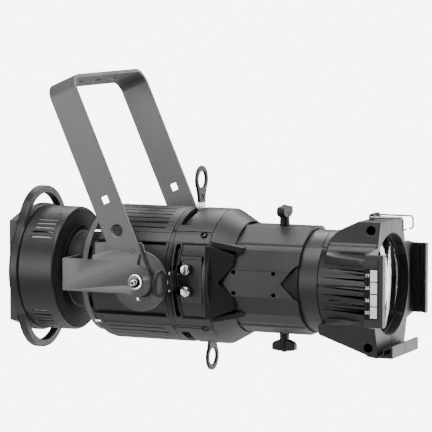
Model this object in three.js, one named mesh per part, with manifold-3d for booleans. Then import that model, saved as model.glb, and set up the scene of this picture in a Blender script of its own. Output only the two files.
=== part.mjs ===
// An ellipsoidal spotlight that hangs from its yoke.
// Millimetres, +Z up. The beam runs along +X, the near side is -Y and the far side is +Y.
// Places along the beam are measured from the tilt axis, places across it from the beam axis.
// The origin of the whole is the hanging point, the middle of the yoke bar's outer face.
import * as THREE from 'three';
import { mergeVertices } from 'three/addons/utils/BufferGeometryUtils.js';
import Module from 'manifold-3d';

const wasm = await Module();
wasm.setup();

// Clearances
const gap = 0.3; // between pieces that touch
const overrun = 1.5; // how far a cut runs past the face that it opens

// Counts
const roundSides = 40; // sides of the large turned pieces
const innerSides = 28; // sides of the turned pieces inside the body
const smallSides = 12; // sides of holes, screws and pins
const bendSteps = 5; // steps round a bend or a slot's end

// Yoke: a flat bar bent into a U
const yokeReach = 278; // tilt axis to the outer face of the bar
const yokeLean = 23.6; // degrees that it leans back
const strapWidth = 40;
const strapThickness = 5;
const yokeBend = 21; // outer radius of the two bends
const squareHole = 10;
const squareHoleReach = 112.5; // tilt axis to the square hole
const roundHoleRadius = 8;
const roundHoleReach = 70; // tilt axis to the round hole
const hangHoleRadius = 6.5;
const barSlotLength = 14;
const barSlotWidth = 7;
const barSlotSpread = 50; // hanging hole to each slot

// Tilt joint, alike on both sides, from the housing outwards
const boltRadius = 4;
const boltStandOut = 11.7; // beyond the side arm
const boltSocketRadius = 2;
const boltSocketDepth = 6;
const bossRadius = 24;
const bossHoleDepth = 14.7;
const bossStandOut = 9.7; // boss beyond the housing
const plateRadius = 39;
const plateThickness = 3;
const plateWingShares = [[-1.6, 0.64], [0.2, 0], [0.2, 0.97], [0.15, 1.18], [0.05, 1.28], [-1.2, 1.24],
  [-1.6, 1.18]];
const discRadius = 19;
const discThickness = 1.4;
const nutRadius = 10;
const nutBore = 7.3;
const nutLength = 2.6;
const nutFloor = 0.8;

// Side arm: from the tilt joint back to the neck flange
const armThickness = 3;
const armTop = 26;
const armDrop = 16;
const armNeckGap = 2; // between the neck and the arm's rear flange
const lobeRadius = 20.5;
const lobeEnd = 57; // degrees above the beam where the round end stops
const armCrestShares = [[0.1, 1.09], [0.29, 1.78], [0.39, 1.85], [-0.02, 1.83], [-0.22, 2.09], [-1.87, 1.97],
  [-3.04, 1.52], [-2.93, 1.27]];
const armBevelRise = 16; // height of the bevel under the crest
const armBevelLip = 0.6; // what the bevel leaves of the thickness
const armBevelShares = [-3.3, -0.1];

// Reflector housing: the finned middle of the body
const housingRadius = 88;
const housingWall = 7.5;
const housingRear = 85; // tilt axis to the rear rim
const seamReach = 30; // tilt axis to the joint between the two housings
const rimTaper = 15;
const rimDrop = 8;
const rimLip = 3;
const rimLipWidth = 4;
const sideRecess = 4;
const recessHalfHeight = 48;
const recessRearInset = 7;
const recessFrontInset = 4;
const finCount = 15;
const finPitch = 6; // degrees between two grooves
const finGrooveWidth = 2.2;
const finGrooveDepth = 2.5;
const finInset = 12;

// Turn ring: holds the front body to the reflector housing and lets it turn
const turnRingGrip = 12; // length inside the reflector housing
const turnRingWall = 4.2;
const turnRingFlange = 2.55;
const housingLip = 2; // lip of the front body behind the ring's flange

// Rear bulkhead and neck
const bulkheadThickness = 8.7;
const bulkheadInset = 8; // how much smaller than the housing
const bulkheadWidth = 28; // of the ring, rim to bore
const neckLength = 39.4;
const neckPlay = 2; // between the neck and the bulkhead's bore
const neckWall = 4;
const neckSpigot = 4;
const neckFlangeWidth = 20;
const neckFlangeThickness = 3;
const neckFootWidth = 8;

// Drum: cylinder with vents round the heat sink and the fan
const drumInset = 6; // how much smaller than the housing
const drumLength = 50.7;
const drumWall = 2.5;
const drumFrontWall = 3;
const ventHeight = 2.6;
const ventCount = 5;
const ventUpperLength = 29.1;
const ventLowerLength = 24;
const ventRearInset = 12.2;
const ventUpperStart = 35.3; // degrees above the beam
const ventLowerStart = 38.8; // degrees below the beam
const ventPitch = 5.2; // degrees

// Handle ring: flat ring with a finger loop above and below
const handleWidth = 11.6;
const handleOverhang = 3; // beyond the drum
const handleWall = 6;
const loopInset = 40.5; // ring's outside to the loop's centre
const loopRadius = 64;
const loopThickness = 10;

// Rear cover: flange and shallow box
const coverDepth = 12;
const coverFlange = 2;
const coverWall = 2.5;
const coverSideInset = 22; // drum's radius to the box's sides
const coverShoulderInset = 16;
const coverCrownInset = 4;
const coverCrownHalfWidth = 20;
const postRadius = 3;

// Driver board
const boardSideInset = 10; // box's side to the board's edge
const boardEndInset = 6;
const boardThickness = 1.6;
const boardSetback = 14.4; // cover's inner face to the board
const boardChipShares = [[-0.3, 0.25, 0.16, 0.12], [0.28, 0.22, 0.1, 0.2], [-0.05, -0.25, 0.3, 0.14]];
const boardChipHeight = 5;
const postInset = 7;

// Display, buttons and sockets on the rear cover
const displayWidth = 46;
const displayHeight = 18;
const displayThickness = 2;
const displayInset = 31; // box's shoulder to the display
const buttonRadius = 4;
const buttonPitch = 16;
const buttonDrop = 23; // display to the buttons
const buttonProud = 1.5;
const buttonFlange = 1.5;
const buttonCount = 4;
const socketInset = 31; // box's shoulder to the sockets
const inletWidth = 26;
const inletHeight = 19;
const inletDepth = 10;
const socketFlange = 2;
const socketBorder = 3; // flange beyond the socket's body
const socketWall = 2;
const inletPinLength = 7;
const inletPinWidth = 2;
const inletPinPitch = 7;
const socketSpacing = 3; // between the two sockets' flanges
const dataRadius = 10;
const dataPinRadius = 1;
const dataPinCircle = 4;

// Light source
const ledBoardThickness = 3;
const emitterShare = 0.7; // of the reflector's rear opening
const emitterHeight = 1.2;
const reflectorCentre = 41; // tilt axis back to the middle of the ellipse
const reflectorHalfLength = 97;
const reflectorPlay = 1.5; // neck's radius to the ellipse
const reflectorWall = 1.5;
const reflectorFront = 60; // tilt axis back to the reflector's mouth
const reflectorSteps = 6;
const reflectorFlangeLap = 8; // on the bulkhead round its bore

// Heat sink and fan
const sinkCore = 30;
const sinkPlay = 3.5; // between the fins and the drum
const sinkFins = 20;
const sinkFinWidth = 3;
const sinkLength = 24.7;
const noseLength = 3;
const fanInset = 33.5; // drum's bore to the fan's sides
const fanDepth = 20;
const fanFrameWall = 3;
const fanHubRadius = 14;
const fanStrut = 4;
const fanStrutDepth = 3;
const fanStruts = 3;
const rotorPlay = 1;
const rotorHubRadius = 16;
const rotorDepth = 14.7;
const rotorBlades = 7;
const rotorBladeWidth = 10;
const rotorBladeThickness = 1.5;
const rotorBladeTwist = 35; // degrees

// Shutter housing: the front body, a cylinder that ends in a cone
const shutterWall = 5;
const shutterHousingLength = 57.85;
const coneLength = 26.6;
const coneNoseWall = 1.4;
const coneNoseLength = 4.6;
const boreOverhang = 1.8; // how far the bore runs on under the cone
const sideStep = 2;
const sideStepInset = 4;
const coneNotchRear = 43;
const coneNotchFront = 31;

// Shutters: four blades with a handle each, in planes one behind the other
const plateSheet = 1.5;
const plateRunning = 0.6; // between the turn ring and the rear plate
const apertureRadius = 32;
const dishInset = 7;
const dishRun = 3;
const handleThickness = 4;
const bladePitch = 2.3;
const bladeMargin = 0.6;
const bladeThickness = 0.8;
const bladeHalfWidth = 32;
const bladeOverhang = 3.5; // blade longer than the housing's radius
const bladeWideLength = 33;
const bladeTab = 26;
const tongueWidth = 19;
const tongueLength = 12;
const handleLength = 48;
const handleHalfWidth = 18;
const handleNeck = 9.5;
const handleShoulder = 12.5;
const fingerHalfWidth = 12.5;
const fingerHalfHeight = 11;
const eyeletRadius = 3;
const eyeletRise = 7;
const topShutterStandOut = 5.3; // housing to the foot of each handle, as the blades stand
const farShutterStandOut = 10;
const nearShutterStandOut = 17;
const bottomShutterStandOut = -7;
const topShutterShift = 6; // towards the far side
const bottomShutterShift = 25;
const nearShutterRise = 1.5;
const slotAngleTall = 38; // degrees either way of the top and bottom slots
const slotAngleSide = 32; // degrees either way of the side slots

// Access window, thumb screws and housing screws
const windowRearInset = 0.3;
const windowLength = 29.5;
const windowTop = 33;
const windowDrop = 27;
const accessPlateSetback = 3.7;
const accessPlateThickness = 2.3;
const thumbRadius = 6.5;
const thumbStandOut = 4;
const thumbShank = 3;
const thumbSetback = 8.6; // window's rear edge to the screws
const thumbSlotWidth = 1.4;
const thumbSlotDepth = 1.5;
const thumbRises = { upper: 16, lower: -12 };
const screwX = 75;
const screwHeadRadius = 3.6;
const screwHeadHeight = 3.4;
const screwPocketRadius = 5;
const screwPocketDepth = 3;
const screwShank = 1.5;
const screwShankLength = 3.5;
const screwUpperAngle = 42; // degrees above the beam
const screwLowerAngle = 45; // degrees below the beam

// Barrel: the fixed tube that the lens tube slides in
const barrelInset = 16.5; // how much smaller than the housing
const barrelWall = 3;
const barrelSetback = 23.6; // barrel's front to the hood, as the lens tube stands
const barrelFlange = 3;
const barrelLip = 6.4;
const slideGap = 0.4;

// Focus knobs
const knobShare = 0.4967; // of the way from the cone to the barrel's front
const knobShaft = 3;
const knobNeck = 6.5;
const knobNeckLength = 7.2;
const knobHalfSpan = 16;
const knobHeight = 24.2;
const knobThickness = 11;
const knobWingShares = [[0.4, 0.3], [1, 0.66], [1, 0.92], [0.75, 1], [0.25, 0.75]];

// Lens tube: two half shells with a square hood
const hoodReach = 306; // tilt axis to the front face of the hood
const tubeLength = 196;
const tubePlay = 2.9; // between the tube and the barrel's bore
const tubeWall = 3;
const guideLength = 3;
const seatLip = 4.6;
const seatWidth = 3;
const rearLensSetback = 37; // rear end of the tube to the lens's seat
const hoodLength = 77;
const hoodBoreInset = 0.6; // tube's radius to the hood's bore
const hoodBoreDepth = 18;
const hoodTopRise = 16.4; // beyond the tube
const hoodTopTaper = 11;
const hoodTopInset = 14.6; // tube's radius to the wing's half width at its base
const hoodBottomRise = 22.9;
const hoodBottomTaper = 12;
const hoodBottomInset = 5.6;
const wingInset = 17.6; // tube's radius to the height where the wings leave it
const hoodSideRise = 19.2;
const hoodSideInset = 20.1;
const hoodCheekInset = 4.8;
const hoodCheekDrop = 15.4;
const hoodTopShares = [[0, 0.78], [0.23, 0.9], [0.45, 1], [1, 1]];
const hoodBottomShares = [[0, 0.7], [0.84, 0.98], [1, 1]];
const hoodSideShares = [[0.03, 0.76], [0.88, 0.967], [0.92, 1], [1, 1]];
const hoodFlareStart = 24;
const wingHoleRadius = 5.9;
const wingHoleSetback = 12;
const wingHoleDrop = 11; // top wing's edge to its hole
const wingHoleRise = 13; // bottom wing's edge to its hole
const wingHoleDepth = 13;

// Frame rails on the hood: one channel each side and one below
const railDepth = 19.5;
const railWall = 3;
const railLip = 3;
const railLipReach = 9.8;
const railRib = 2;
const railRibSetback = 6.5;
const railRibReach = 7.3;
const bottomLipReach = 16;
const bottomRibReach = 11;

// Lug pair and wire clip over the frame rails
const lugSetback = 23; // hood face to the clip's axle
const lugHalfLength = 4;
const lugInner = 2;
const lugOuter = 12;
const axleRise = 4; // above the hood
const wireRadius = 1.2;
const clipHalfWidth = 18.5;
const clipOverhang = 2.5; // beyond the rails
const clipDrop = 15;
const clipToe = 11;
const clipBend = 2;

// Lenses
const frontLensRim = 4;
const frontLensDome = 12;
const frontLensStep = 3.2;
const domeSteps = 5;
const rearLensThickness = 6.7;
const lensRingWidth = 2;
const lensRingInset = 2.7;

// Scale plate on the near rail
const labelRear = 4.6; // behind the hood face
const labelFront = 13.6; // ahead of the hood face
const labelThickness = 0.4;
const labelTopInset = 17; // rail's end to the plate
const labelBottomInset = 10.5;

// Layers of the tilt joint, from the housing outwards
const bossOuter = housingRadius + bossStandOut;
const plateInner = bossOuter + gap;
const plateOuter = plateInner + plateThickness;
const discInner = plateOuter + gap;
const discOuter = discInner + discThickness;
const legInner = discOuter + gap;
const legOuter = legInner + strapThickness;
const armInner = legOuter + gap;
const armOuter = armInner + armThickness;
const nutInner = armOuter + gap;
const boltHoleRadius = boltRadius + gap;

// Sizes across the beam, rear half
const housingBore = housingRadius - housingWall;
const bulkheadRadius = housingRadius - bulkheadInset;
const bulkheadBore = bulkheadRadius - bulkheadWidth;
const neckRadius = bulkheadBore - neckPlay;
const neckFlangeRadius = neckRadius + neckFlangeWidth;
const neckFootRadius = neckRadius + neckFootWidth;
const armFlangeInner = neckRadius + armNeckGap;
const drumRadius = housingRadius - drumInset;
const drumBore = drumRadius - drumWall;
const handleRadius = drumRadius + handleOverhang;
const handleBore = handleRadius - handleWall;
const loopCentre = handleRadius - loopInset;
const coverHalfWidth = drumRadius - coverSideInset;
const coverShoulder = drumRadius - coverShoulderInset;
const coverCrown = drumRadius - coverCrownInset;
const boardWidth = 2 * (coverHalfWidth - boardSideInset);
const boardHeight = 2 * (coverShoulder - boardEndInset);
const displayRise = coverShoulder - displayInset;
const buttonRise = displayRise - buttonDrop;
const socketDrop = coverShoulder - socketInset;
const inletOffset = coverHalfWidth / 2;
const dataOffset = inletWidth / 2 + 2 * socketBorder + socketSpacing + dataRadius - inletOffset;
const reflectorHalfHeight = neckRadius - reflectorPlay;
const reflectorFlangeRadius = bulkheadBore + reflectorFlangeLap;
const sinkRadius = drumBore - sinkPlay;
const fanSize = 2 * (drumBore - fanInset);
const fanBore = fanSize / 2 - fanFrameWall;
const rotorRadius = fanBore - rotorPlay;

// Places along the beam, rear half
const housingRearX = -housingRear;
const housingFrontX = seamReach - gap / 2;
const bulkheadFrontX = housingRearX - gap;
const bulkheadRearX = bulkheadFrontX - bulkheadThickness;
const neckFrontX = bulkheadRearX - gap;
const neckRearX = neckFrontX - neckLength;
const neckFlangeFrontX = neckFrontX - neckSpigot;
const neckFlangeRearX = neckFlangeFrontX - neckFlangeThickness;
const armFlangeFrontX = neckFlangeRearX - gap;
const armRearX = armFlangeFrontX - armThickness;
const drumFrontX = neckRearX - gap;
const drumRearX = drumFrontX - drumLength;
const handleFrontX = drumRearX - gap;
const handleRearX = handleFrontX - handleWidth;
const coverFrontX = handleRearX - gap;
const coverRearX = coverFrontX - coverDepth;
const coverInnerX = coverRearX + coverWall;
const boardRearX = coverInnerX + boardSetback;
const noseFrontX = drumFrontX - gap;
const noseRearX = noseFrontX - noseLength;
const sinkRearX = noseRearX - sinkLength;
const fanFrontX = sinkRearX - gap;
const fanRearX = fanFrontX - fanDepth;
const rotorRearX = fanRearX + fanStrutDepth + gap;
const ledFrontX = drumFrontX + ledBoardThickness;
const reflectorRearX = ledFrontX + gap;

// Sizes across the beam, front half
const shutterBore = housingRadius - shutterWall;
const dishRadius = shutterBore - dishInset;
const bladeLength = housingRadius + bladeOverhang;
const accessPlateOuter = housingRadius - accessPlateSetback;
const accessPlateInner = accessPlateOuter - accessPlateThickness;
const thumbReach = housingRadius + thumbStandOut;
const barrelRadius = housingRadius - barrelInset;
const barrelBore = barrelRadius - barrelWall;
const tubeRadius = barrelBore - tubePlay;
const tubeBore = tubeRadius - tubeWall;
const seatRadius = tubeBore - seatLip;
const hoodBore = tubeRadius - hoodBoreInset;
const hoodTop = tubeRadius + hoodTopRise;
const hoodTopBase = tubeRadius - hoodTopInset;
const hoodTopHalfWidth = hoodTopBase - hoodTopTaper;
const hoodBottom = tubeRadius + hoodBottomRise;
const hoodBottomBase = tubeRadius - hoodBottomInset;
const hoodBottomHalfWidth = hoodBottomBase - hoodBottomTaper;
const wingBase = tubeRadius - wingInset;
const hoodSide = tubeRadius + hoodSideRise;
const hoodSideHalfHeight = tubeRadius - hoodSideInset;
const hoodCheek = tubeRadius - hoodCheekInset;
const hoodCheekHeight = tubeRadius - hoodCheekDrop;
const wingHoleTop = hoodTop - wingHoleDrop;
const wingHoleBottom = hoodBottom - wingHoleRise;
const labelTop = hoodSideHalfHeight - labelTopInset;
const labelDrop = hoodSideHalfHeight - labelBottomInset;

// Places along the beam, front half
const shutterRearX = seamReach + gap / 2;
const turnFlangeX = shutterRearX + housingLip + gap;
const turnFrontX = turnFlangeX + turnRingFlange;
const rearPlateX = turnFrontX + plateRunning;
const firstBladeX = rearPlateX + plateSheet + bladeMargin + handleThickness / 2;
const frontPlateX = firstBladeX + 3 * bladePitch + handleThickness / 2 + bladeMargin;
const slotRearX = rearPlateX + plateSheet + gap;
const slotFrontX = frontPlateX - gap;
const windowRearX = frontPlateX + plateSheet + windowRearInset;
const windowFrontX = windowRearX + windowLength;
const coneX = shutterRearX + shutterHousingLength;
const coneFrontX = coneX + coneLength;
const boreEndX = coneX + boreOverhang;
const barrelFlangeX = boreEndX - gap - barrelFlange;
const tubeRearX = hoodReach - tubeLength;
const seatX = tubeRearX + rearLensSetback;
const hoodRearX = hoodReach - hoodLength;
const barrelFrontX = hoodRearX - barrelSetback;
const knobX = coneFrontX + knobShare * (barrelFrontX - coneFrontX);
const lensSeatX = hoodReach - hoodBoreDepth;
const railFrontX = hoodReach + railDepth;
const axleX = hoodReach - lugSetback;
const axleZ = hoodTop + axleRise;

// The hanging point seen from the tilt axis
const degree = Math.PI / 180;
const hangX = -yokeReach * Math.sin(yokeLean * degree);
const hangZ = yokeReach * Math.cos(yokeLean * degree);

// Outlines: lists of pairs in a plane
function arc(u, v, radius, from, to, steps) {
  return Array.from({ length: steps + 1 }, (_, i) => {
    const angle = (from + ((to - from) * i) / steps) * degree;
    return [u + radius * Math.cos(angle), v + radius * Math.sin(angle)];
  });
}

function circle(u, v, radius, sides = smallSides) {
  return arc(u, v, radius, 0, 360 - 360 / sides, sides - 1);
}

function rectangle(u0, u1, v0, v1) {
  return [[u0, v0], [u1, v0], [u1, v1], [u0, v1]];
}

function spread(shares, u, v) {
  return shares.map(([a, b]) => [a * u, b * v]);
}

// Solids: a closed geometry becomes a solid that can be joined and cut
function solid(geometry) {
  const bare = geometry.clone();
  bare.deleteAttribute('normal');
  bare.deleteAttribute('uv');
  const merged = mergeVertices(bare);
  const place = merged.getAttribute('position');
  const index = merged.index.array;
  const faces = [];
  let volume = 0;
  const [a, b, c] = [new THREE.Vector3(), new THREE.Vector3(), new THREE.Vector3()];
  for (let i = 0; i < index.length; i += 3) {
    const [p, q, r] = [index[i], index[i + 1], index[i + 2]];
    if (p === q || q === r || r === p) continue;
    faces.push(p, q, r);
    a.fromBufferAttribute(place, p);
    b.fromBufferAttribute(place, q);
    c.fromBufferAttribute(place, r);
    volume += a.dot(b.cross(c));
  }
  if (volume < 0) {
    for (let i = 0; i < faces.length; i += 3) {
      [faces[i], faces[i + 1]] = [faces[i + 1], faces[i]];
    }
  }
  return new wasm.Manifold(new wasm.Mesh({
    numProp: 3,
    vertProperties: new Float32Array(place.array),
    triVerts: new Uint32Array(faces),
  }));
}

function geometryOf(shape) {
  const { vertProperties, triVerts } = shape.getMesh();
  const geometry = new THREE.BufferGeometry();
  geometry.setAttribute('position', new THREE.BufferAttribute(new Float32Array(vertProperties), 3));
  geometry.setIndex(new THREE.BufferAttribute(new Uint32Array(triVerts), 1));
  return geometry;
}

function moved(shape, matrix) {
  return solid(geometryOf(shape).applyMatrix4(matrix));
}

function mirrored(shape) {
  return moved(shape, new THREE.Matrix4().makeScale(1, -1, 1));
}

function turnedAboutBeam(shape, angle) {
  return moved(shape, new THREE.Matrix4().makeRotationX(angle * degree));
}

// An outline in the plane across an axis, drawn out along that axis
const drawing = {
  X: new THREE.Matrix4().set(0, 0, 1, 0, 1, 0, 0, 0, 0, 1, 0, 0, 0, 0, 0, 1),
  Y: new THREE.Matrix4().set(1, 0, 0, 0, 0, 0, 1, 0, 0, 1, 0, 0, 0, 0, 0, 1),
  Z: new THREE.Matrix4(),
};

function prism(axis, outline, from, to) {
  const shape = new THREE.Shape(outline.map(([u, v]) => new THREE.Vector2(u, v)));
  const geometry = new THREE.ExtrudeGeometry(shape, { depth: to - from, bevelEnabled: false });
  return solid(geometry.translate(0, 0, from).applyMatrix4(drawing[axis]));
}

function box(x0, x1, y0, y1, z0, z1) {
  return prism('Z', rectangle(x0, x1, y0, y1), z0, z1);
}

// A profile of (place, radius) pairs turned about the beam axis
function turned(profile, sides = roundSides) {
  const points = profile.map(([x, radius]) => new THREE.Vector2(radius, x));
  return solid(new THREE.LatheGeometry(points, sides).rotateZ(-Math.PI / 2));
}

function disc(x0, x1, radius, sides) {
  return turned([[x0, 0], [x0, radius], [x1, radius], [x1, 0]], sides);
}

function ring(x0, x1, inner, outer, sides) {
  return turned([[x0, inner], [x0, outer], [x1, outer], [x1, inner], [x0, inner]], sides);
}

// Colours of the pieces
const darkCasting = { color: 0x2c2c2e, roughness: 0.55, metalness: 0.35 };
const blackCasting = { color: 0x141415, roughness: 0.6, metalness: 0.3 };
const greySheet = { color: 0x7f7a7f, roughness: 0.45, metalness: 0.45 };
const paleCasting = { color: 0xa6a1a8, roughness: 0.5, metalness: 0.4 };
const bareSteel = { color: 0xc6c4c6, roughness: 0.3, metalness: 0.9 };
const rawAluminium = { color: 0xb4b4b6, roughness: 0.4, metalness: 0.85 };
const blackPlastic = { color: 0x1a1a1c, roughness: 0.5, metalness: 0 };
const circuitBoard = { color: 0x1f4a33, roughness: 0.6, metalness: 0 };
const clearGlass = { color: 0xbfc8cc, roughness: 0.05, metalness: 0 };
const brightMirror = { color: 0xdcdcdf, roughness: 0.08, metalness: 1 };
const darkWindow = { color: 0x101418, roughness: 0.15, metalness: 0 };

function piece(name, shape, look) {
  const geometry = geometryOf(shape);
  geometry.computeVertexNormals();
  const mesh = new THREE.Mesh(geometry, new THREE.MeshStandardMaterial({ ...look, flatShading: true }));
  mesh.name = name;
  return mesh;
}

// A piece on the far side and its mirror image on the near side
function pair(name, shape, look) {
  return [piece(`${name}_far`, shape, look), piece(`${name}_near`, mirrored(shape), look)];
}

function yoke() {
  const outer = [
    ...arc(legOuter - yokeBend, yokeReach - yokeBend, yokeBend, 0, 90, bendSteps),
    ...arc(yokeBend - legOuter, yokeReach - yokeBend, yokeBend, 90, 180, bendSteps),
  ];
  const inner = [
    ...arc(yokeBend - legOuter, yokeReach - yokeBend, yokeBend - strapThickness, 180, 90, bendSteps),
    ...arc(legOuter - yokeBend, yokeReach - yokeBend, yokeBend - strapThickness, 90, 0, bendSteps),
  ];
  const foot = -strapWidth / 2;
  const farFoot = [-legOuter, foot];
  const outline = [[legOuter, foot], ...outer, farFoot, [-legInner, foot], ...inner, [legInner, foot]];
  const strap = prism('X', outline, -strapWidth / 2, strapWidth / 2);
  const side = [
    ...arc(0, 0, strapWidth / 2, 180, 360, smallSides),
    [strapWidth / 2, yokeReach + overrun],
    [-strapWidth / 2, yokeReach + overrun],
  ];
  const reach = legOuter + overrun;
  const halfSquare = squareHole / 2;
  let shape = strap.intersect(prism('Y', side, -reach, reach));
  shape = shape.subtract(prism('Y', circle(0, 0, boltHoleRadius), -reach, reach));
  shape = shape.subtract(prism('Y', circle(0, roundHoleReach, roundHoleRadius), -reach, reach));
  const [squareLow, squareHigh] = [squareHoleReach - halfSquare, squareHoleReach + halfSquare];
  const square = rectangle(-halfSquare, halfSquare, squareLow, squareHigh);
  shape = shape.subtract(prism('Y', square, -reach, reach));
  const barInner = yokeReach - strapThickness - overrun;
  const barOuter = yokeReach + overrun;
  shape = shape.subtract(prism('Z', circle(0, 0, hangHoleRadius), barInner, barOuter));
  for (const middle of [-barSlotSpread, barSlotSpread]) {
    const straight = (barSlotLength - barSlotWidth) / 2;
    const slot = [
      ...arc(0, middle + straight, barSlotWidth / 2, 0, 180, bendSteps),
      ...arc(0, middle - straight, barSlotWidth / 2, 180, 360, bendSteps),
    ];
    shape = shape.subtract(prism('Z', slot, barInner, barOuter));
  }
  return shape;
}

function pivotPlate() {
  const wing = prism('Y', spread(plateWingShares, plateRadius, plateRadius), plateInner, plateOuter);
  const round = prism('Y', circle(0, 0, plateRadius, innerSides), plateInner, plateOuter);
  const hole = prism('Y', circle(0, 0, boltHoleRadius), plateInner - overrun, plateOuter + overrun);
  return round.add(wing).subtract(hole);
}

function frictionDisc() {
  const round = prism('Y', circle(0, 0, discRadius, 20), discInner, discOuter);
  return round.subtract(prism('Y', circle(0, 0, boltHoleRadius), discInner - overrun, discOuter + overrun));
}

function sideArm() {
  const lobeStart = 180 + Math.asin(armDrop / lobeRadius) / degree;
  const outline = [
    [armRearX, armTop],
    [armRearX, -armDrop],
    ...arc(0, 0, lobeRadius, lobeStart, 360 + lobeEnd, 14),
    ...spread(armCrestShares, lobeRadius, lobeRadius),
  ];
  const web = prism('Y', outline, armInner, armOuter);
  const flange = box(armRearX, armFlangeFrontX, armFlangeInner, armOuter, -armDrop, armTop);
  const hole = prism('Y', circle(0, 0, boltHoleRadius), armInner - overrun, armOuter + overrun);
  const slope = armBevelRise / (armThickness - armBevelLip);
  const bevel = [
    [armOuter + overrun, armTop - overrun * slope],
    [armOuter + overrun, armTop + 2 * armBevelRise],
    [armInner + armBevelLip, armTop + 2 * armBevelRise],
    [armInner + armBevelLip, armTop + armBevelRise],
  ];
  const [bevelRear, bevelFront] = armBevelShares.map((share) => share * lobeRadius);
  return web.add(flange).subtract(hole).subtract(prism('X', bevel, bevelRear, bevelFront));
}

function cupNut() {
  const nutOuter = nutInner + nutLength;
  const body = prism('Y', circle(0, 0, nutRadius, 20), nutInner, nutOuter);
  const cup = prism('Y', circle(0, 0, nutBore, 20), nutInner + nutFloor, nutOuter + overrun);
  const hole = prism('Y', circle(0, 0, boltHoleRadius), nutInner - overrun, nutOuter);
  return body.subtract(cup).subtract(hole);
}

function pivotBolt() {
  const start = bossOuter - bossHoleDepth + 2 * gap;
  const end = armOuter + boltStandOut;
  const shank = prism('Y', circle(0, 0, boltRadius), start, end);
  return shank.subtract(prism('Y', circle(0, 0, boltSocketRadius, 6), end - boltSocketDepth, end + overrun));
}

function reflectorHousing() {
  const lipBore = housingRadius - rimDrop - rimLipWidth;
  let shape = turned([
    [housingRearX, lipBore],
    [housingRearX, housingRadius - rimDrop],
    [housingRearX + rimTaper / 2, housingRadius - rimDrop / 4],
    [housingRearX + rimTaper, housingRadius],
    [housingFrontX, housingRadius],
    [housingFrontX, housingBore],
    [housingRearX + 2 * rimLip, housingBore],
    [housingRearX + rimLip, lipBore],
    [housingRearX, lipBore],
  ]);
  const recessRear = housingRearX + recessRearInset;
  const recessFront = housingFrontX - recessFrontInset;
  const beyond = housingRadius + overrun;
  const skin = ring(recessRear, recessFront, housingRadius - sideRecess, beyond);
  const band = box(recessRear, recessFront, -beyond, beyond, -recessHalfHeight, recessHalfHeight);
  shape = shape.subtract(skin.intersect(band));
  const groove = box(
    housingRearX + rimTaper + finInset / 2,
    housingFrontX - finInset,
    -finGrooveWidth / 2,
    finGrooveWidth / 2,
    housingRadius - finGrooveDepth,
    beyond,
  );
  for (let i = 0; i < finCount; i += 1) {
    const angle = (i - (finCount - 1) / 2) * finPitch;
    shape = shape.subtract(turnedAboutBeam(groove, angle)).subtract(turnedAboutBeam(groove, 180 + angle));
  }
  const boss = prism('Y', circle(0, 0, bossRadius, 20), housingBore - overrun, bossOuter);
  const hole = prism('Y', circle(0, 0, boltHoleRadius), bossOuter - bossHoleDepth, bossOuter + overrun);
  const bore = disc(housingRearX + rimLip, housingFrontX + overrun, housingBore);
  const post = boss.subtract(bore).subtract(hole);
  return shape.subtract(hole).subtract(mirrored(hole)).add(post).add(mirrored(post));
}

function rearBulkhead() {
  return ring(bulkheadRearX, bulkheadFrontX, bulkheadBore, bulkheadRadius, innerSides);
}

function neckHousing() {
  const bore = neckRadius - neckWall;
  return turned([
    [neckRearX, bore],
    [neckRearX, neckFootRadius],
    [neckRearX + neckFlangeThickness, neckFootRadius],
    [neckRearX + neckFlangeThickness, neckRadius],
    [neckFlangeRearX, neckRadius],
    [neckFlangeRearX, neckFlangeRadius],
    [neckFlangeFrontX, neckFlangeRadius],
    [neckFlangeFrontX, neckRadius],
    [neckFrontX, neckRadius],
    [neckFrontX, bore],
    [neckRearX, bore],
  ], innerSides);
}

function drumShell() {
  const wallX = drumFrontX - drumFrontWall;
  let shape = turned([
    [drumRearX, drumBore],
    [drumRearX, drumRadius],
    [drumFrontX - drumFrontWall / 2, drumRadius],
    [drumFrontX, drumRadius - drumFrontWall / 2],
    [drumFrontX, neckRadius + gap],
    [wallX, neckRadius + gap],
    [wallX, drumBore],
    [drumRearX, drumBore],
  ]);
  const ventX = drumRearX + ventRearInset;
  const vents = [[ventUpperStart, ventUpperLength], [-ventLowerStart, ventLowerLength]];
  for (const [start, length] of vents) {
    const slot = box(
      ventX,
      ventX + length,
      drumBore - overrun,
      drumRadius + overrun,
      -ventHeight / 2,
      ventHeight / 2,
    );
    for (let i = 0; i < ventCount; i += 1) {
      const angle = start + Math.sign(start) * i * ventPitch;
      const cutter = turnedAboutBeam(slot, angle);
      shape = shape.subtract(cutter).subtract(mirrored(cutter));
    }
  }
  return shape;
}

function handleRing() {
  let shape = disc(handleRearX, handleFrontX, handleRadius);
  for (const side of [-1, 1]) {
    const loop = prism('X', circle(0, side * loopCentre, loopRadius, roundSides), handleRearX, handleFrontX);
    const inside = circle(0, side * loopCentre, loopRadius - loopThickness, roundSides);
    shape = shape.add(loop.subtract(prism('X', inside, handleRearX - overrun, handleFrontX + overrun)));
  }
  return shape.subtract(disc(handleRearX - overrun, handleFrontX + overrun, handleBore));
}

function coverOutline(inset) {
  const width = coverHalfWidth - inset;
  const shoulder = coverShoulder - inset;
  const crown = coverCrown - inset;
  return [
    [width, -shoulder],
    [width, shoulder],
    [coverCrownHalfWidth, crown],
    [-coverCrownHalfWidth, crown],
    [-width, shoulder],
    [-width, -shoulder],
    [-coverCrownHalfWidth, -crown],
    [coverCrownHalfWidth, -crown],
  ];
}

function buttonPlaces() {
  return Array.from({ length: buttonCount }, (_, i) => (i - (buttonCount - 1) / 2) * buttonPitch);
}

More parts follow.
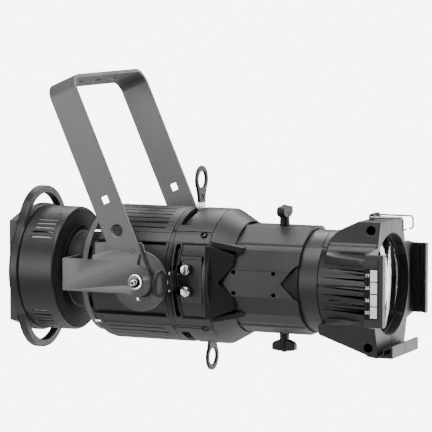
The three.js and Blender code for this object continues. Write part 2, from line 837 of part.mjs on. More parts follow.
function rearCover() {
  let shape = disc(coverFrontX - coverFlange, coverFrontX, drumRadius);
  shape = shape.add(prism('X', coverOutline(0), coverRearX, coverFrontX));
  shape = shape.subtract(prism('X', coverOutline(coverWall), coverInnerX, coverFrontX + overrun));
  const postY = boardWidth / 2 - postInset;
  const postZ = boardHeight / 2 - postInset;
  for (const y of [-postY, postY]) {
    for (const z of [-postZ, postZ]) {
      const post = circle(y, z, postRadius, 8);
      shape = shape.add(prism('X', post, coverRearX + coverWall / 2, boardRearX - gap));
    }
  }
  const cut = (outline) => {
    shape = shape.subtract(prism('X', outline, coverRearX - overrun, coverInnerX + overrun));
  };
  const halfWidth = displayWidth / 2 + gap;
  const halfHeight = displayHeight / 2 + gap;
  cut(rectangle(-halfWidth, halfWidth, displayRise - halfHeight, displayRise + halfHeight));
  for (const y of buttonPlaces()) cut(circle(y, buttonRise, buttonRadius + gap, 12));
  const inletHalf = inletWidth / 2 + gap;
  const inletTall = inletHeight / 2 + gap;
  cut(rectangle(
    -inletOffset - inletHalf,
    -inletOffset + inletHalf,
    -socketDrop - inletTall,
    -socketDrop + inletTall,
  ));
  cut(circle(dataOffset, -socketDrop, dataRadius + gap));
  return shape;
}

function driverBoard() {
  const front = boardRearX + boardThickness;
  let shape = box(boardRearX, front, -boardWidth / 2, boardWidth / 2, -boardHeight / 2, boardHeight / 2);
  for (const [y, z, width, height] of boardChipShares) {
    const middleY = y * boardWidth;
    const middleZ = z * boardHeight;
    const halfY = (width * boardWidth) / 2;
    const halfZ = (height * boardHeight) / 2;
    const chip = rectangle(middleY - halfY, middleY + halfY, middleZ - halfZ, middleZ + halfZ);
    shape = shape.add(prism('X', chip, boardRearX + boardThickness / 2, front + boardChipHeight));
  }
  return shape;
}

function displayWindow() {
  const outline = rectangle(
    -displayWidth / 2,
    displayWidth / 2,
    displayRise - displayHeight / 2,
    displayRise + displayHeight / 2,
  );
  return prism('X', outline, coverRearX, coverRearX + displayThickness);
}

function pushButton() {
  const stem = disc(coverRearX - buttonProud, coverInnerX + gap + buttonFlange, buttonRadius, 12);
  return stem.add(disc(coverInnerX + gap, coverInnerX + gap + buttonFlange, buttonRadius + buttonFlange, 12));
}

function powerInlet() {
  const flangeX = coverRearX - gap;
  const rear = flangeX - socketFlange;
  const about = (halfWidth, halfHeight) => rectangle(
    -inletOffset - halfWidth,
    -inletOffset + halfWidth,
    -socketDrop - halfHeight,
    -socketDrop + halfHeight,
  );
  const halfWidth = inletWidth / 2;
  const halfHeight = inletHeight / 2;
  const front = rear + inletDepth + socketWall;
  let shape = prism('X', about(halfWidth, halfHeight), rear, front);
  shape = shape.add(prism('X', about(halfWidth + socketBorder, halfHeight + socketBorder), rear, flangeX));
  const well = about(halfWidth - socketWall, halfHeight - socketWall);
  shape = shape.subtract(prism('X', well, rear - overrun, rear + inletDepth));
  for (const [y, z] of [[-1, 0], [1, 0], [0, 0.4]]) {
    const pinY = -inletOffset + y * inletPinPitch;
    const pinZ = -socketDrop + z * inletPinPitch;
    const halfPin = inletPinWidth / 2;
    const pin = rectangle(pinY - halfPin, pinY + halfPin, pinZ - inletPinWidth, pinZ + inletPinWidth);
    shape = shape.add(prism('X', pin, rear + inletDepth - inletPinLength, front - socketWall / 2));
  }
  return shape;
}

function dataSocket() {
  const flangeX = coverRearX - gap;
  const rear = flangeX - socketFlange;
  const front = rear + inletDepth + socketWall;
  const half = dataRadius + socketBorder;
  const flange = rectangle(dataOffset - half, dataOffset + half, -socketDrop - half, -socketDrop + half);
  let shape = prism('X', circle(dataOffset, -socketDrop, dataRadius), rear, front);
  shape = shape.add(prism('X', flange, rear, flangeX));
  const well = circle(dataOffset, -socketDrop, dataRadius - socketWall);
  shape = shape.subtract(prism('X', well, rear - overrun, rear + inletDepth));
  for (const [y, z] of arc(dataOffset, -socketDrop, dataPinCircle, 90, 330, 2)) {
    const pin = circle(y, z, dataPinRadius, 6);
    shape = shape.add(prism('X', pin, rear + socketFlange, front - socketWall / 2));
  }
  return shape;
}

function ledBoard() {
  const plate = disc(drumFrontX, ledFrontX, neckRadius - neckWall - gap, innerSides);
  const emitterRadius = emitterShare * reflectorRadius(reflectorRearX);
  return plate.add(disc(ledFrontX - gap, ledFrontX + emitterHeight, emitterRadius, smallSides));
}

function reflectorRadius(x) {
  const along = (x + reflectorCentre) / reflectorHalfLength;
  return reflectorHalfHeight * Math.sqrt(1 - along * along);
}

function reflector() {
  const inner = [];
  const outer = [];
  for (let i = 0; i <= reflectorSteps; i += 1) {
    const share = (i / reflectorSteps) ** 1.5;
    const x = reflectorRearX + (-reflectorFront - reflectorRearX) * share;
    inner.push([x, reflectorRadius(x)]);
    outer.unshift([x, reflectorRadius(x) + reflectorWall]);
  }
  const bowl = turned([...inner, ...outer, inner[0]], innerSides);
  const flangeX = bulkheadFrontX + gap;
  const flangeInner = reflectorRadius(flangeX) + reflectorWall / 3;
  return bowl.add(ring(flangeX, flangeX + reflectorWall, flangeInner, reflectorFlangeRadius, innerSides));
}

function heatSink() {
  const outline = [];
  for (let i = 0; i < sinkFins; i += 1) {
    const middle = (360 / sinkFins) * i;
    for (const [radius, side] of [[sinkCore, -1], [sinkRadius, -1], [sinkRadius, 1], [sinkCore, 1]]) {
      const half = Math.asin(sinkFinWidth / 2 / radius) / degree;
      outline.push(...arc(0, 0, radius, middle + side * half, 0, 0.5).slice(0, 1));
    }
  }
  const star = prism('X', outline, sinkRearX, noseRearX);
  return star.add(disc(noseRearX - overrun, noseFrontX, neckRadius));
}

function fanFrame() {
  const half = fanSize / 2;
  let shape = box(fanRearX, fanFrontX, -half, half, -half, half);
  shape = shape.subtract(disc(fanRearX - overrun, fanFrontX + overrun, fanBore, innerSides));
  const strut = box(fanRearX, fanRearX + fanStrutDepth, -fanStrut / 2, fanStrut / 2, 0, fanBore + overrun);
  for (let i = 0; i < fanStruts; i += 1) shape = shape.add(turnedAboutBeam(strut, (360 / fanStruts) * i));
  return shape.add(disc(fanRearX, fanRearX + fanStrutDepth, fanHubRadius, smallSides));
}

function fanRotor() {
  let shape = disc(rotorRearX, rotorRearX + rotorDepth, rotorHubRadius, smallSides);
  const bladeReach = rotorRadius - rotorHubRadius + overrun;
  const blade = new THREE.BoxGeometry(rotorBladeThickness, rotorBladeWidth, bladeReach);
  blade.rotateZ(rotorBladeTwist * degree);
  blade.translate(rotorRearX + rotorDepth / 2, 0, (rotorRadius + rotorHubRadius - overrun) / 2 - gap);
  for (let i = 0; i < rotorBlades; i += 1) {
    shape = shape.add(turnedAboutBeam(solid(blade), (360 / rotorBlades) * i));
  }
  return shape;
}

function turnRing() {
  const outer = housingBore - gap;
  const rear = housingFrontX - turnRingGrip;
  return turned([
    [rear, outer - turnRingWall],
    [rear, outer],
    [turnFlangeX, outer],
    [turnFlangeX, shutterBore - gap],
    [turnFrontX, shutterBore - gap],
    [turnFrontX, outer - turnRingWall],
    [rear, outer - turnRingWall],
  ], innerSides);
}

function shutterSlots() {
  const beyond = housingRadius + overrun;
  const band = ring(slotRearX, slotFrontX, shutterBore - overrun, beyond);
  const wedge = (half) => {
    const side = beyond * Math.sin(half * degree);
    const base = (shutterBore - overrun) * Math.cos(half * degree);
    return box(slotRearX, slotFrontX, -side, side, base, beyond);
  };
  const tall = band.intersect(wedge(slotAngleTall));
  const side = band.intersect(wedge(slotAngleSide));
  return [tall, turnedAboutBeam(tall, 180), turnedAboutBeam(side, 90), turnedAboutBeam(side, -90)];
}

function screwPlaces() {
  return [
    screwUpperAngle - 90,
    90 - screwUpperAngle,
    -90 - screwLowerAngle,
    90 + screwLowerAngle,
  ];
}

function shutterHousing() {
  const noseBore = barrelRadius + gap;
  let shape = turned([
    [shutterRearX, housingBore],
    [shutterRearX, housingRadius],
    [coneX, housingRadius],
    [coneFrontX, noseBore + coneNoseWall],
    [coneFrontX, noseBore],
    [coneFrontX - coneNoseLength, noseBore],
    [boreEndX, shutterBore],
    [shutterRearX + housingLip, shutterBore],
    [shutterRearX + housingLip, housingBore],
    [shutterRearX, housingBore],
  ]);
  const beyond = housingRadius + overrun;
  const stepRear = slotFrontX + sideStepInset;
  const stepFront = coneX - sideStepInset;
  const skin = ring(stepRear, stepFront, housingRadius - sideStep, beyond);
  const band = box(stepRear, stepFront, -beyond, beyond, -recessHalfHeight, recessHalfHeight);
  shape = shape.subtract(skin.intersect(band));
  for (const slot of shutterSlots()) shape = shape.subtract(slot);
  const notch = [
    [boreEndX, -coneNotchRear],
    [coneFrontX + overrun, -coneNotchFront],
    [coneFrontX + overrun, coneNotchFront],
    [boreEndX, coneNotchRear],
  ];
  shape = shape.subtract(prism('Y', notch, -beyond, beyond));
  shape = shape.subtract(box(windowRearX, windowFrontX, -beyond, -barrelBore, -windowDrop, windowTop));
  const pocketFloor = housingRadius - screwPocketDepth;
  const pocket = prism('Z', circle(screwX, 0, screwPocketRadius), pocketFloor, beyond);
  const shankHole = circle(screwX, 0, screwShank + gap, 8);
  const hole = prism('Z', shankHole, shutterBore - overrun, pocketFloor + overrun);
  for (const angle of screwPlaces()) {
    shape = shape.subtract(turnedAboutBeam(pocket, angle)).subtract(turnedAboutBeam(hole, angle));
  }
  return shape;
}

// A dished plate: its rim stands off the handles and its middle lies against the end blade
function shutterPlate(outerX, bladeX) {
  const side = Math.sign(bladeX - outerX);
  const rimX = outerX + side * plateSheet;
  const faceX = bladeX - side * (bladeThickness / 2 + gap);
  const rim = shutterBore - gap;
  return turned([
    [outerX, rim],
    [rimX, rim],
    [rimX, dishRadius + dishRun],
    [faceX, dishRadius],
    [faceX, apertureRadius],
    [faceX - side * plateSheet, apertureRadius],
    [faceX - side * plateSheet, dishRadius - dishRun / 4],
    [outerX, dishRadius + (dishRun * 3) / 4],
    [outerX, rim],
  ], innerSides);
}

function shutterSeparator() {
  const rear = firstBladeX + bladePitch + bladeThickness / 2 + gap;
  const front = rear + bladePitch - bladeThickness - 2 * gap;
  return ring(rear, front, apertureRadius, shutterBore - gap, innerSides);
}

function accessPlate() {
  const rear = windowRearX + gap;
  const front = windowFrontX - gap;
  const shell = ring(rear, front, accessPlateInner, accessPlateOuter);
  const opening = box(rear, front, -housingRadius, -barrelBore, -windowDrop + gap, windowTop - gap);
  let shape = shell.intersect(opening);
  for (const rise of Object.values(thumbRises)) {
    const hole = circle(windowRearX + thumbSetback, rise, thumbShank + gap, 12);
    shape = shape.subtract(prism('Y', hole, -housingRadius, -barrelBore));
  }
  return shape;
}

function thumbScrew() {
  const headInner = accessPlateOuter + gap;
  const head = prism('Y', circle(0, 0, thumbRadius, 20), -thumbReach, -headInner);
  const shankEnd = accessPlateInner - 2 * thumbSlotDepth;
  const shank = prism('Y', circle(0, 0, thumbShank, 12), -headInner - thumbSlotDepth, -shankEnd);
  const slot = box(
    -thumbRadius - overrun,
    thumbRadius + overrun,
    -thumbReach - overrun,
    thumbSlotDepth - thumbReach,
    -thumbSlotWidth / 2,
    thumbSlotWidth / 2,
  );
  return head.add(shank).subtract(slot);
}

function housingScrew() {
  const base = housingRadius - screwPocketDepth + gap;
  const dome = new THREE.LatheGeometry([
    new THREE.Vector2(0, base),
    new THREE.Vector2(screwHeadRadius, base),
    new THREE.Vector2(screwHeadRadius, base + screwHeadHeight / 3),
    new THREE.Vector2(screwHeadRadius * 0.75, base + screwHeadHeight * 0.8),
    new THREE.Vector2(0, base + screwHeadHeight),
  ], 12).rotateX(Math.PI / 2);
  const shank = prism('Z', circle(0, 0, screwShank, 8), base - screwShankLength, base + screwHeadHeight / 3);
  return solid(dome).add(shank);
}

function barrel() {
  const flangeRadius = shutterBore - gap;
  let shape = turned([
    [barrelFlangeX, barrelBore],
    [barrelFlangeX, flangeRadius],
    [barrelFlangeX + barrelFlange, flangeRadius],
    [barrelFlangeX + barrelFlange, barrelRadius],
    [barrelFrontX, barrelRadius],
    [barrelFrontX, tubeRadius + slideGap],
    [barrelFrontX - barrelLip, tubeRadius + slideGap],
    [barrelFrontX - barrelLip - (barrelBore - tubeRadius - slideGap), barrelBore],
    [barrelFlangeX, barrelBore],
  ]);
  const hole = circle(knobX, 0, knobShaft + gap);
  shape = shape.subtract(prism('Z', hole, -barrelRadius - overrun, barrelRadius + overrun));
  return shape;
}

function focusKnob() {
  const start = barrelRadius + gap;
  let shape = prism('Z', circle(0, 0, knobShaft, 12), barrelBore, start + overrun);
  shape = shape.add(prism('Z', circle(0, 0, knobNeck), start, start + knobNeckLength + overrun));
  const rightHalf = spread(knobWingShares, knobHalfSpan, knobHeight);
  const leftHalf = rightHalf.map(([y, z]) => [-y, z]).reverse();
  const wing = [...rightHalf, ...leftHalf].map(([y, z]) => [y, start + z]);
  return shape.add(prism('X', wing, -knobThickness / 2, knobThickness / 2));
}

function bladeShape() {
  const wideTop = bladeWideLength - bladeLength;
  const outline = [
    [-bladeHalfWidth, -bladeLength],
    [bladeHalfWidth, -bladeLength],
    [bladeHalfWidth, wideTop],
    [bladeTab / 2, wideTop + bladeTab / 2],
    [bladeTab / 2, 0],
    [tongueWidth / 2, 0],
    [tongueWidth / 2, tongueLength],
    [-tongueWidth / 2, tongueLength],
    [-tongueWidth / 2, 0],
    [-bladeTab / 2, 0],
    [-bladeTab / 2, wideTop + bladeTab / 2],
    [-bladeHalfWidth, wideTop],
  ];
  const sheet = prism('X', outline, -bladeThickness / 2, bladeThickness / 2);
  const eyelet = circle(0, eyeletRise + gap, eyeletRadius, 8);
  return sheet.subtract(prism('X', eyelet, -handleThickness, handleThickness));
}

function bladeHandle() {
  const middle = handleLength - handleHalfWidth;
  const outline = [
    [-handleNeck, 0],
    [handleNeck, 0],
    [handleShoulder, middle / 2],
    ...arc(0, middle, handleHalfWidth, -15, 195, smallSides),
    [-handleShoulder, middle / 2],
  ];
  const half = handleThickness / 2;
  let shape = prism('X', outline, -half, half);
  const finger = circle(0, 0, 1, 16).map(([y, z]) => [y * fingerHalfWidth, middle + z * fingerHalfHeight]);
  shape = shape.subtract(prism('X', finger, -half - overrun, half + overrun));
  shape = shape.subtract(prism('X', circle(0, eyeletRise, eyeletRadius, 8), -half - overrun, half + overrun));
  const halfSlot = bladeThickness / 2 + gap;
  const widest = handleNeck + handleShoulder;
  const pocket = rectangle(-widest, widest, -overrun, tongueLength + 2 * gap);
  return shape.subtract(prism('X', pocket, -halfSlot, halfSlot));
}

function shutterPlaces() {
  const plane = (i) => firstBladeX + i * bladePitch;
  return [
    { name: 'top', turn: 0, at: [plane(0), topShutterShift, housingRadius + topShutterStandOut] },
    { name: 'far', turn: -90, at: [plane(1), housingRadius + farShutterStandOut, 0] },
    { name: 'near', turn: 90, at: [plane(2), -housingRadius - nearShutterStandOut, nearShutterRise] },
    { name: 'bottom', turn: 180, at: [plane(3), bottomShutterShift, -housingRadius - bottomShutterStandOut] },
  ];
}

function railOutline(outer, lipReach, ribReach) {
  const floor = outer - railWall;
  const ribX = hoodReach + railRibSetback;
  return [
    [hoodReach - overrun, outer],
    [railFrontX, outer],
    [railFrontX, outer - lipReach],
    [railFrontX - railLip, outer - lipReach],
    [railFrontX - railLip, floor],
    [ribX + railRib, floor],
    [ribX + railRib, outer - ribReach],
    [ribX, outer - ribReach],
    [ribX, floor],
    [hoodReach - overrun, floor],
  ];
}

function hoodProfile(shares, size) {
  return shares.map(([along, high]) => [hoodRearX + along * hoodLength, high * size]);
}

function lensShell() {
  let shape = disc(tubeRearX, hoodReach, tubeRadius);
  shape = shape.add(disc(tubeRearX, tubeRearX + guideLength, barrelBore - gap));
  const topPlate = [
    [-hoodTopBase, wingBase],
    [hoodTopBase, wingBase],
    [hoodTopHalfWidth, hoodTop],
    [-hoodTopHalfWidth, hoodTop],
  ];
  const topProfile = [[hoodRearX, wingBase], ...hoodProfile(hoodTopShares, hoodTop), [hoodReach, wingBase]];
  const top = prism('X', topPlate, hoodRearX, hoodReach)
    .intersect(prism('Y', topProfile, -hoodTopBase, hoodTopBase));
  const bottomPlate = [
    [-hoodBottomBase, -wingBase],
    [hoodBottomBase, -wingBase],
    [hoodBottomHalfWidth, -hoodBottom],
    [-hoodBottomHalfWidth, -hoodBottom],
  ];
  const bottomEdge = hoodProfile(hoodBottomShares, -hoodBottom);
  const bottomProfile = [[hoodRearX, -wingBase], ...bottomEdge, [hoodReach, -wingBase]];
  const bottom = prism('X', bottomPlate, hoodRearX, hoodReach)
    .intersect(prism('Y', bottomProfile, -hoodBottomBase, hoodBottomBase));
  const cheek = [
    [0, -hoodCheekHeight],
    [hoodCheek, -hoodCheekHeight],
    [hoodSide, -hoodSideHalfHeight],
    [hoodSide, hoodSideHalfHeight],
    [hoodCheek, hoodCheekHeight],
    [0, hoodCheekHeight],
  ];
  const plan = [[hoodRearX, 0], ...hoodProfile(hoodSideShares, hoodSide), [hoodReach, 0]];
  const spreadOut = [
    [hoodRearX, -hoodFlareStart],
    [hoodReach, -hoodCheekHeight],
    [hoodReach, hoodCheekHeight],
    [hoodRearX, hoodFlareStart],
  ];
  const side = prism('X', cheek, hoodRearX, hoodReach)
    .intersect(prism('Z', plan, -hoodCheekHeight, hoodCheekHeight))
    .intersect(prism('Y', spreadOut, 0, hoodSide));
  shape = shape.add(top).add(bottom).add(side);
  const sideRail = railOutline(hoodSide, railLipReach, railRibReach);
  shape = shape.add(prism('Z', sideRail, -hoodSideHalfHeight, hoodSideHalfHeight));
  const bottomRail = railOutline(hoodBottom, bottomLipReach, bottomRibReach).map(([x, z]) => [x, -z]);
  shape = shape.add(prism('Y', bottomRail, 0, hoodBottomHalfWidth));
  const lug = [
    [axleX - lugHalfLength, hoodTop - overrun],
    [axleX + lugHalfLength, hoodTop - overrun],
    ...arc(axleX, axleZ, lugHalfLength, 0, 180, 6),
  ];
  shape = shape.add(prism('Y', lug, lugInner, lugOuter));
  const axleHole = circle(axleX, axleZ, wireRadius + gap);
  shape = shape.subtract(prism('Y', axleHole, 0, lugOuter + overrun));
  const holeX = hoodReach - wingHoleSetback;
  for (const [height, edge] of [[wingHoleTop, hoodTopHalfWidth], [-wingHoleBottom, hoodBottomHalfWidth]]) {
    const hole = circle(holeX, height, wingHoleRadius);
    shape = shape.subtract(prism('Y', hole, edge - wingHoleDepth, hoodSide));
  }
  const bore = turned([
    [tubeRearX - overrun, 0],
    [tubeRearX - overrun, tubeBore],
    [seatX - rearLensThickness - 2 * gap - seatWidth, tubeBore],
    [seatX - rearLensThickness - 2 * gap - seatWidth, seatRadius],
    [seatX - rearLensThickness - 2 * gap, seatRadius],
    [seatX - rearLensThickness - 2 * gap, tubeBore],
    [seatX, tubeBore],
    [seatX, seatRadius],
    [seatX + seatWidth, seatRadius],
    [seatX + seatWidth, tubeBore],
    [lensSeatX, tubeBore],
    [lensSeatX, hoodBore],
    [hoodReach + overrun, hoodBore],
    [hoodReach + overrun, 0],
  ]);
  const beyond = hoodBottom + overrun;
  const crown = axleZ + 2 * lugHalfLength;
  const farHalf = box(tubeRearX - overrun, railFrontX + overrun, gap / 2, beyond, -beyond, crown);
  return shape.subtract(bore).intersect(farHalf);
}

function frontLens() {
  const rear = lensSeatX + gap;
  const rim = hoodBore - gap;
  const base = rim - frontLensStep;
  const dome = [];
  for (let i = 0; i <= domeSteps; i += 1) {
    const angle = (90 * i * degree) / domeSteps;
    dome.push([rear + frontLensRim + frontLensDome * Math.sin(angle), base * Math.cos(angle)]);
  }
  dome[domeSteps][1] = 0;
  return turned([[rear, 0], [rear, rim], [rear + frontLensRim, rim], ...dome], innerSides);
}

function lensRing() {
  const rear = lensSeatX + gap + frontLensRim + gap;
  return ring(rear, rear + lensRingWidth, hoodBore - gap - lensRingInset, hoodBore - gap, innerSides);
}

function rearLens() {
  const front = seatX - gap;
  const rim = tubeBore - gap;
  const rear = front - rearLensThickness;
  return turned([[rear, 0], [rear, rim], [front, rim], [front, 0]], innerSides);
}

function labelPlate() {
  const outline = rectangle(hoodReach - labelRear, hoodReach + labelFront, -labelDrop, labelTop);
  const inner = hoodSide + gap;
  return prism('Y', outline, -inner - labelThickness, -inner);
}

// A wire of straight runs with a ball at each bend
function wire(points, radius) {
  let shape = null;
  points.forEach(([x, y, z], i) => {
    const here = new THREE.Vector3(x, y, z);
    if (i > 0) {
      const before = new THREE.Vector3(...points[i - 1]);
      const along = here.clone().sub(before);
      const rod = new THREE.CylinderGeometry(radius, radius, along.length(), 6);
      rod.applyQuaternion(new THREE.Quaternion().setFromUnitVectors(
        new THREE.Vector3(0, 1, 0),
        along.clone().normalize(),
      ));
      rod.translate(...before.add(here).multiplyScalar(0.5));
      shape = shape ? shape.add(solid(rod)) : solid(rod);
    }
    if (i > 0 && i < points.length - 1) {
      shape = shape.add(solid(new THREE.IcosahedronGeometry(radius).translate(x, y, z)));
    }
  });
  return shape;
}

function gelClip() {
  const front = railFrontX + clipOverhang;
  const half = [
    [front, clipHalfWidth - clipToe, axleZ - clipDrop],
    [front, clipHalfWidth, axleZ - clipDrop],
    [front, clipHalfWidth, axleZ - clipBend],
    [front - clipBend, clipHalfWidth, axleZ],
    [axleX, clipHalfWidth, axleZ],
  ];
  const otherHalf = half.map(([x, y, z]) => [x, -y, z]).reverse();
  return wire([...half, ...otherHalf], wireRadius);
}

// The parts of the lamp, each as a group in the tilt axis's frame
function hangingParts() {
  const group = new THREE.Group();
  group.add(piece('yoke', yoke(), greySheet));
  group.rotation.y = -yokeLean * degree;
  return group;
}

function tiltJointParts() {
  const group = new THREE.Group();
  group.add(...pair('pivot_plate', pivotPlate(), greySheet));
  group.add(...pair('friction_disc', frictionDisc(), blackPlastic));
  group.add(...pair('side_arm', sideArm(), greySheet));
  group.add(...pair('cup_nut', cupNut(), bareSteel));
  group.add(...pair('pivot_bolt', pivotBolt(), bareSteel));
  return group;
}

function rearParts() {
  const group = new THREE.Group();
  group.add(piece('reflector_housing', reflectorHousing(), darkCasting));
  group.add(piece('turn_ring', turnRing(), rawAluminium));
  group.add(piece('rear_bulkhead', rearBulkhead(), paleCasting));
  group.add(piece('neck_housing', neckHousing(), blackCasting));
  group.add(piece('drum_shell', drumShell(), darkCasting));
  group.add(piece('handle_ring', handleRing(), blackCasting));
  group.add(piece('rear_cover', rearCover(), darkCasting));
  group.add(piece('driver_board', driverBoard(), circuitBoard));
  group.add(piece('display_window', displayWindow(), darkWindow));
  group.add(piece('power_inlet', powerInlet(), blackPlastic));
  group.add(piece('data_in', dataSocket(), blackPlastic));
  group.add(piece('led_board', ledBoard(), rawAluminium));
  group.add(piece('reflector', reflector(), brightMirror));
  group.add(piece('heat_sink', heatSink(), rawAluminium));
  group.add(piece('fan_frame', fanFrame(), blackPlastic));
  group.add(piece('fan_rotor', fanRotor(), blackPlastic));
  buttonPlaces().forEach((y, i) => {
    const button = piece(`button_${i + 1}`, pushButton(), blackPlastic);
    button.position.set(0, y, buttonRise);
    group.add(button);
  });
  return group;
}

function shutterParts() {
  const group = new THREE.Group();
  group.add(piece('shutter_housing', shutterHousing(), darkCasting));
  const rearPlate = shutterPlate(rearPlateX, firstBladeX);
  const frontPlate = shutterPlate(frontPlateX + plateSheet, firstBladeX + 3 * bladePitch);
  group.add(piece('shutter_plate_rear', rearPlate, rawAluminium));
  group.add(piece('shutter_separator', shutterSeparator(), rawAluminium));
  group.add(piece('shutter_plate_front', frontPlate, rawAluminium));
  group.add(piece('access_plate', accessPlate(), darkCasting));
  for (const [name, rise] of Object.entries(thumbRises)) {
    const screw = piece(`thumb_screw_${name}`, thumbScrew(), bareSteel);
    screw.position.set(windowRearX + thumbSetback, 0, rise);
    group.add(screw);
  }
  screwPlaces().forEach((angle, i) => {
    const screw = piece(`housing_screw_${i + 1}`, housingScrew(), bareSteel);
    screw.position.x = screwX;
    screw.rotation.x = angle * degree;
    group.add(screw);
  });
  for (const { name, turn, at } of shutterPlaces()) {
    const shutter = new THREE.Group();
    shutter.add(piece(`shutter_blade_${name}`, bladeShape(), bareSteel));
    const handle = piece(`shutter_handle_${name}`, bladeHandle(), blackPlastic);
    handle.position.z = gap;
    shutter.add(handle);
    shutter.rotation.x = turn * degree;
    shutter.position.set(...at);
    group.add(shutter);
  }
  return group;
}

function barrelParts() {
  const group = new THREE.Group();
  group.add(piece('barrel', barrel(), darkCasting));
  const topKnob = piece('focus_knob_top', focusKnob(), blackPlastic);
  const bottomKnob = piece('focus_knob_bottom', focusKnob(), blackPlastic);
  topKnob.position.x = knobX;
  bottomKnob.position.x = knobX;
  bottomKnob.rotation.set(Math.PI, 0, Math.PI / 2);
  group.add(topKnob, bottomKnob);
  return group;
}

function lensParts() {
  const group = new THREE.Group();
  group.add(...pair('lens_shell', lensShell(), darkCasting));
  group.add(piece('front_lens', frontLens(), clearGlass));
  group.add(piece('lens_ring', lensRing(), blackCasting));
  group.add(piece('rear_lens', rearLens(), clearGlass));
  group.add(piece('label_plate', labelPlate(), blackPlastic));
  group.add(piece('gel_clip', gelClip(), bareSteel));
  return group;
}

const spotlight = new THREE.Group();
spotlight.add(hangingParts(), tiltJointParts(), rearParts(), shutterParts(), barrelParts(), lensParts());
spotlight.position.set(-hangX, 0, -hangZ);

const wholePart = new THREE.Group();
wholePart.add(spotlight);

export default wholePart;
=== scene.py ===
import math

import bpy
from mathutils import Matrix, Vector


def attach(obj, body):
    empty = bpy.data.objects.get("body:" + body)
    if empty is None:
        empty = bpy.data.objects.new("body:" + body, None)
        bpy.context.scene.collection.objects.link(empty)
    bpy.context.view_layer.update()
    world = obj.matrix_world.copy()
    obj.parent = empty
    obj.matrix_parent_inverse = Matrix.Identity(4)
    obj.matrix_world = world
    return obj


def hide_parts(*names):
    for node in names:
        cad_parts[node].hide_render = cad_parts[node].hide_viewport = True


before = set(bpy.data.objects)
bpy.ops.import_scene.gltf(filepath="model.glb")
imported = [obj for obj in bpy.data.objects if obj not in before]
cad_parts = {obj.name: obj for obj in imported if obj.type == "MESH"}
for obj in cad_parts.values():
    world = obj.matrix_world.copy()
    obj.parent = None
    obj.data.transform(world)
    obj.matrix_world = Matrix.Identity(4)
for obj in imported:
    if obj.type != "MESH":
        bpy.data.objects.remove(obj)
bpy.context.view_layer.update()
print("spotlight: frame loaded")

# Lengths below are in millimetres, measured from the tilt axis: x along the beam,
# y across it (the near side is minus), z up. settle() puts a piece in its place.
mm = 0.001
tiltAxis = Vector((111.297, 0.0, -254.748))


# Small tools for every piece

unitLines = {"X": Vector((1, 0, 0)), "Y": Vector((0, 1, 0)), "Z": Vector((0, 0, 1))}


def pick(*objects):
    bpy.ops.object.select_all(action="DESELECT")
    for obj in objects:
        obj.select_set(True)
        bpy.context.view_layer.objects.active = obj


def edit(obj):
    pick(obj)
    bpy.ops.object.mode_set(mode="EDIT")
    bpy.ops.mesh.select_all(action="SELECT")


def leaveEdit():
    bpy.ops.object.mode_set(mode="OBJECT")


def tidyFaces(obj, merge=0.005, flat=0, outward=True):
    # near points merged, flat faces joined, all faces turned outward
    edit(obj)
    if merge:
        bpy.ops.mesh.remove_doubles(threshold=merge * mm)
    if flat:
        bpy.ops.mesh.dissolve_limited(angle_limit=math.radians(flat))
    if outward:
        bpy.ops.mesh.normals_make_consistent(inside=False)
    leaveEdit()
    return obj


def modify(obj, kind, **settings):
    modifier = obj.modifiers.new("change", kind)
    for setting, value in settings.items():
        setattr(modifier, setting, value)
    pick(obj)
    bpy.ops.object.modifier_apply(modifier="change")
    return obj


def named(obj, name):
    obj.name = name
    return obj


def fixPlace(obj, turn=None, shift=None):
    # a turn about the origin and then a shift, taken up by the mesh
    if turn is not None:
        obj.rotation_euler = turn
    if shift is not None:
        obj.location = Vector(shift) * mm
    pick(obj)
    bpy.ops.object.transform_apply(location=True, rotation=True, scale=True)
    return obj


def chain(name, points):
    # one vertex, extruded from point to point
    here = Vector(points[0]) * mm
    pick()
    bpy.ops.mesh.primitive_plane_add(size=mm, location=here)
    obj = named(bpy.context.object, name)
    edit(obj)
    bpy.ops.mesh.merge(type="CENTER")
    for point in points[1:]:
        there = Vector(point) * mm
        bpy.ops.mesh.extrude_vertices_move(TRANSFORM_OT_translate={"value": there - here})
        here = there
    bpy.ops.mesh.select_all(action="SELECT")
    return obj


def pull(way):
    bpy.ops.mesh.extrude_region_move(TRANSFORM_OT_translate={"value": Vector(way) * mm})
    leaveEdit()


def turned(name, profile, steps=96, axis="X", middle=(0, 0, 0)):
    # a profile of (place, radius) spun about a line along the axis
    place = Vector(middle)
    draw = {
        "X": lambda along, radius: (along, 0, radius),
        "Y": lambda along, radius: (0, along, radius),
        "Z": lambda along, radius: (radius, 0, along),
    }[axis]
    obj = chain(name, [Vector(draw(*pair)) + place for pair in profile])
    bpy.ops.mesh.spin(steps=steps, angle=math.tau, center=place * mm, axis=unitLines[axis])
    leaveEdit()
    return fixPlace(tidyFaces(obj))


def sleeve(name, x0, x1, inner, outer, steps=96):
    return turned(name, [(x0, inner), (x0, outer), (x1, outer), (x1, inner), (x0, inner)], steps)


def plate(name, outline, axis, start, end):
    # a flat outline filled and extruded along the axis
    draw = {
        "X": lambda u, v: (start, u, v),
        "Y": lambda u, v: (u, start, v),
        "Z": lambda u, v: (u, v, start),
    }[axis]
    obj = chain(name, [draw(u, v) for u, v in outline])
    bpy.ops.mesh.edge_face_add()
    bpy.ops.mesh.select_all(action="SELECT")
    pull(unitLines[axis] * (end - start))
    return fixPlace(tidyFaces(obj))


def cube(middle, size, turn=(0, 0, 0)):
    pick()
    bpy.ops.mesh.primitive_cube_add(size=mm, location=Vector(middle) * mm)
    bpy.context.object.scale = size
    return fixPlace(bpy.context.object, turn)


def block(x0, x1, y0, y1, z0, z1):
    return cube(((x0 + x1) / 2, (y0 + y1) / 2, (z0 + z1) / 2), (x1 - x0, y1 - y0, z1 - z0))


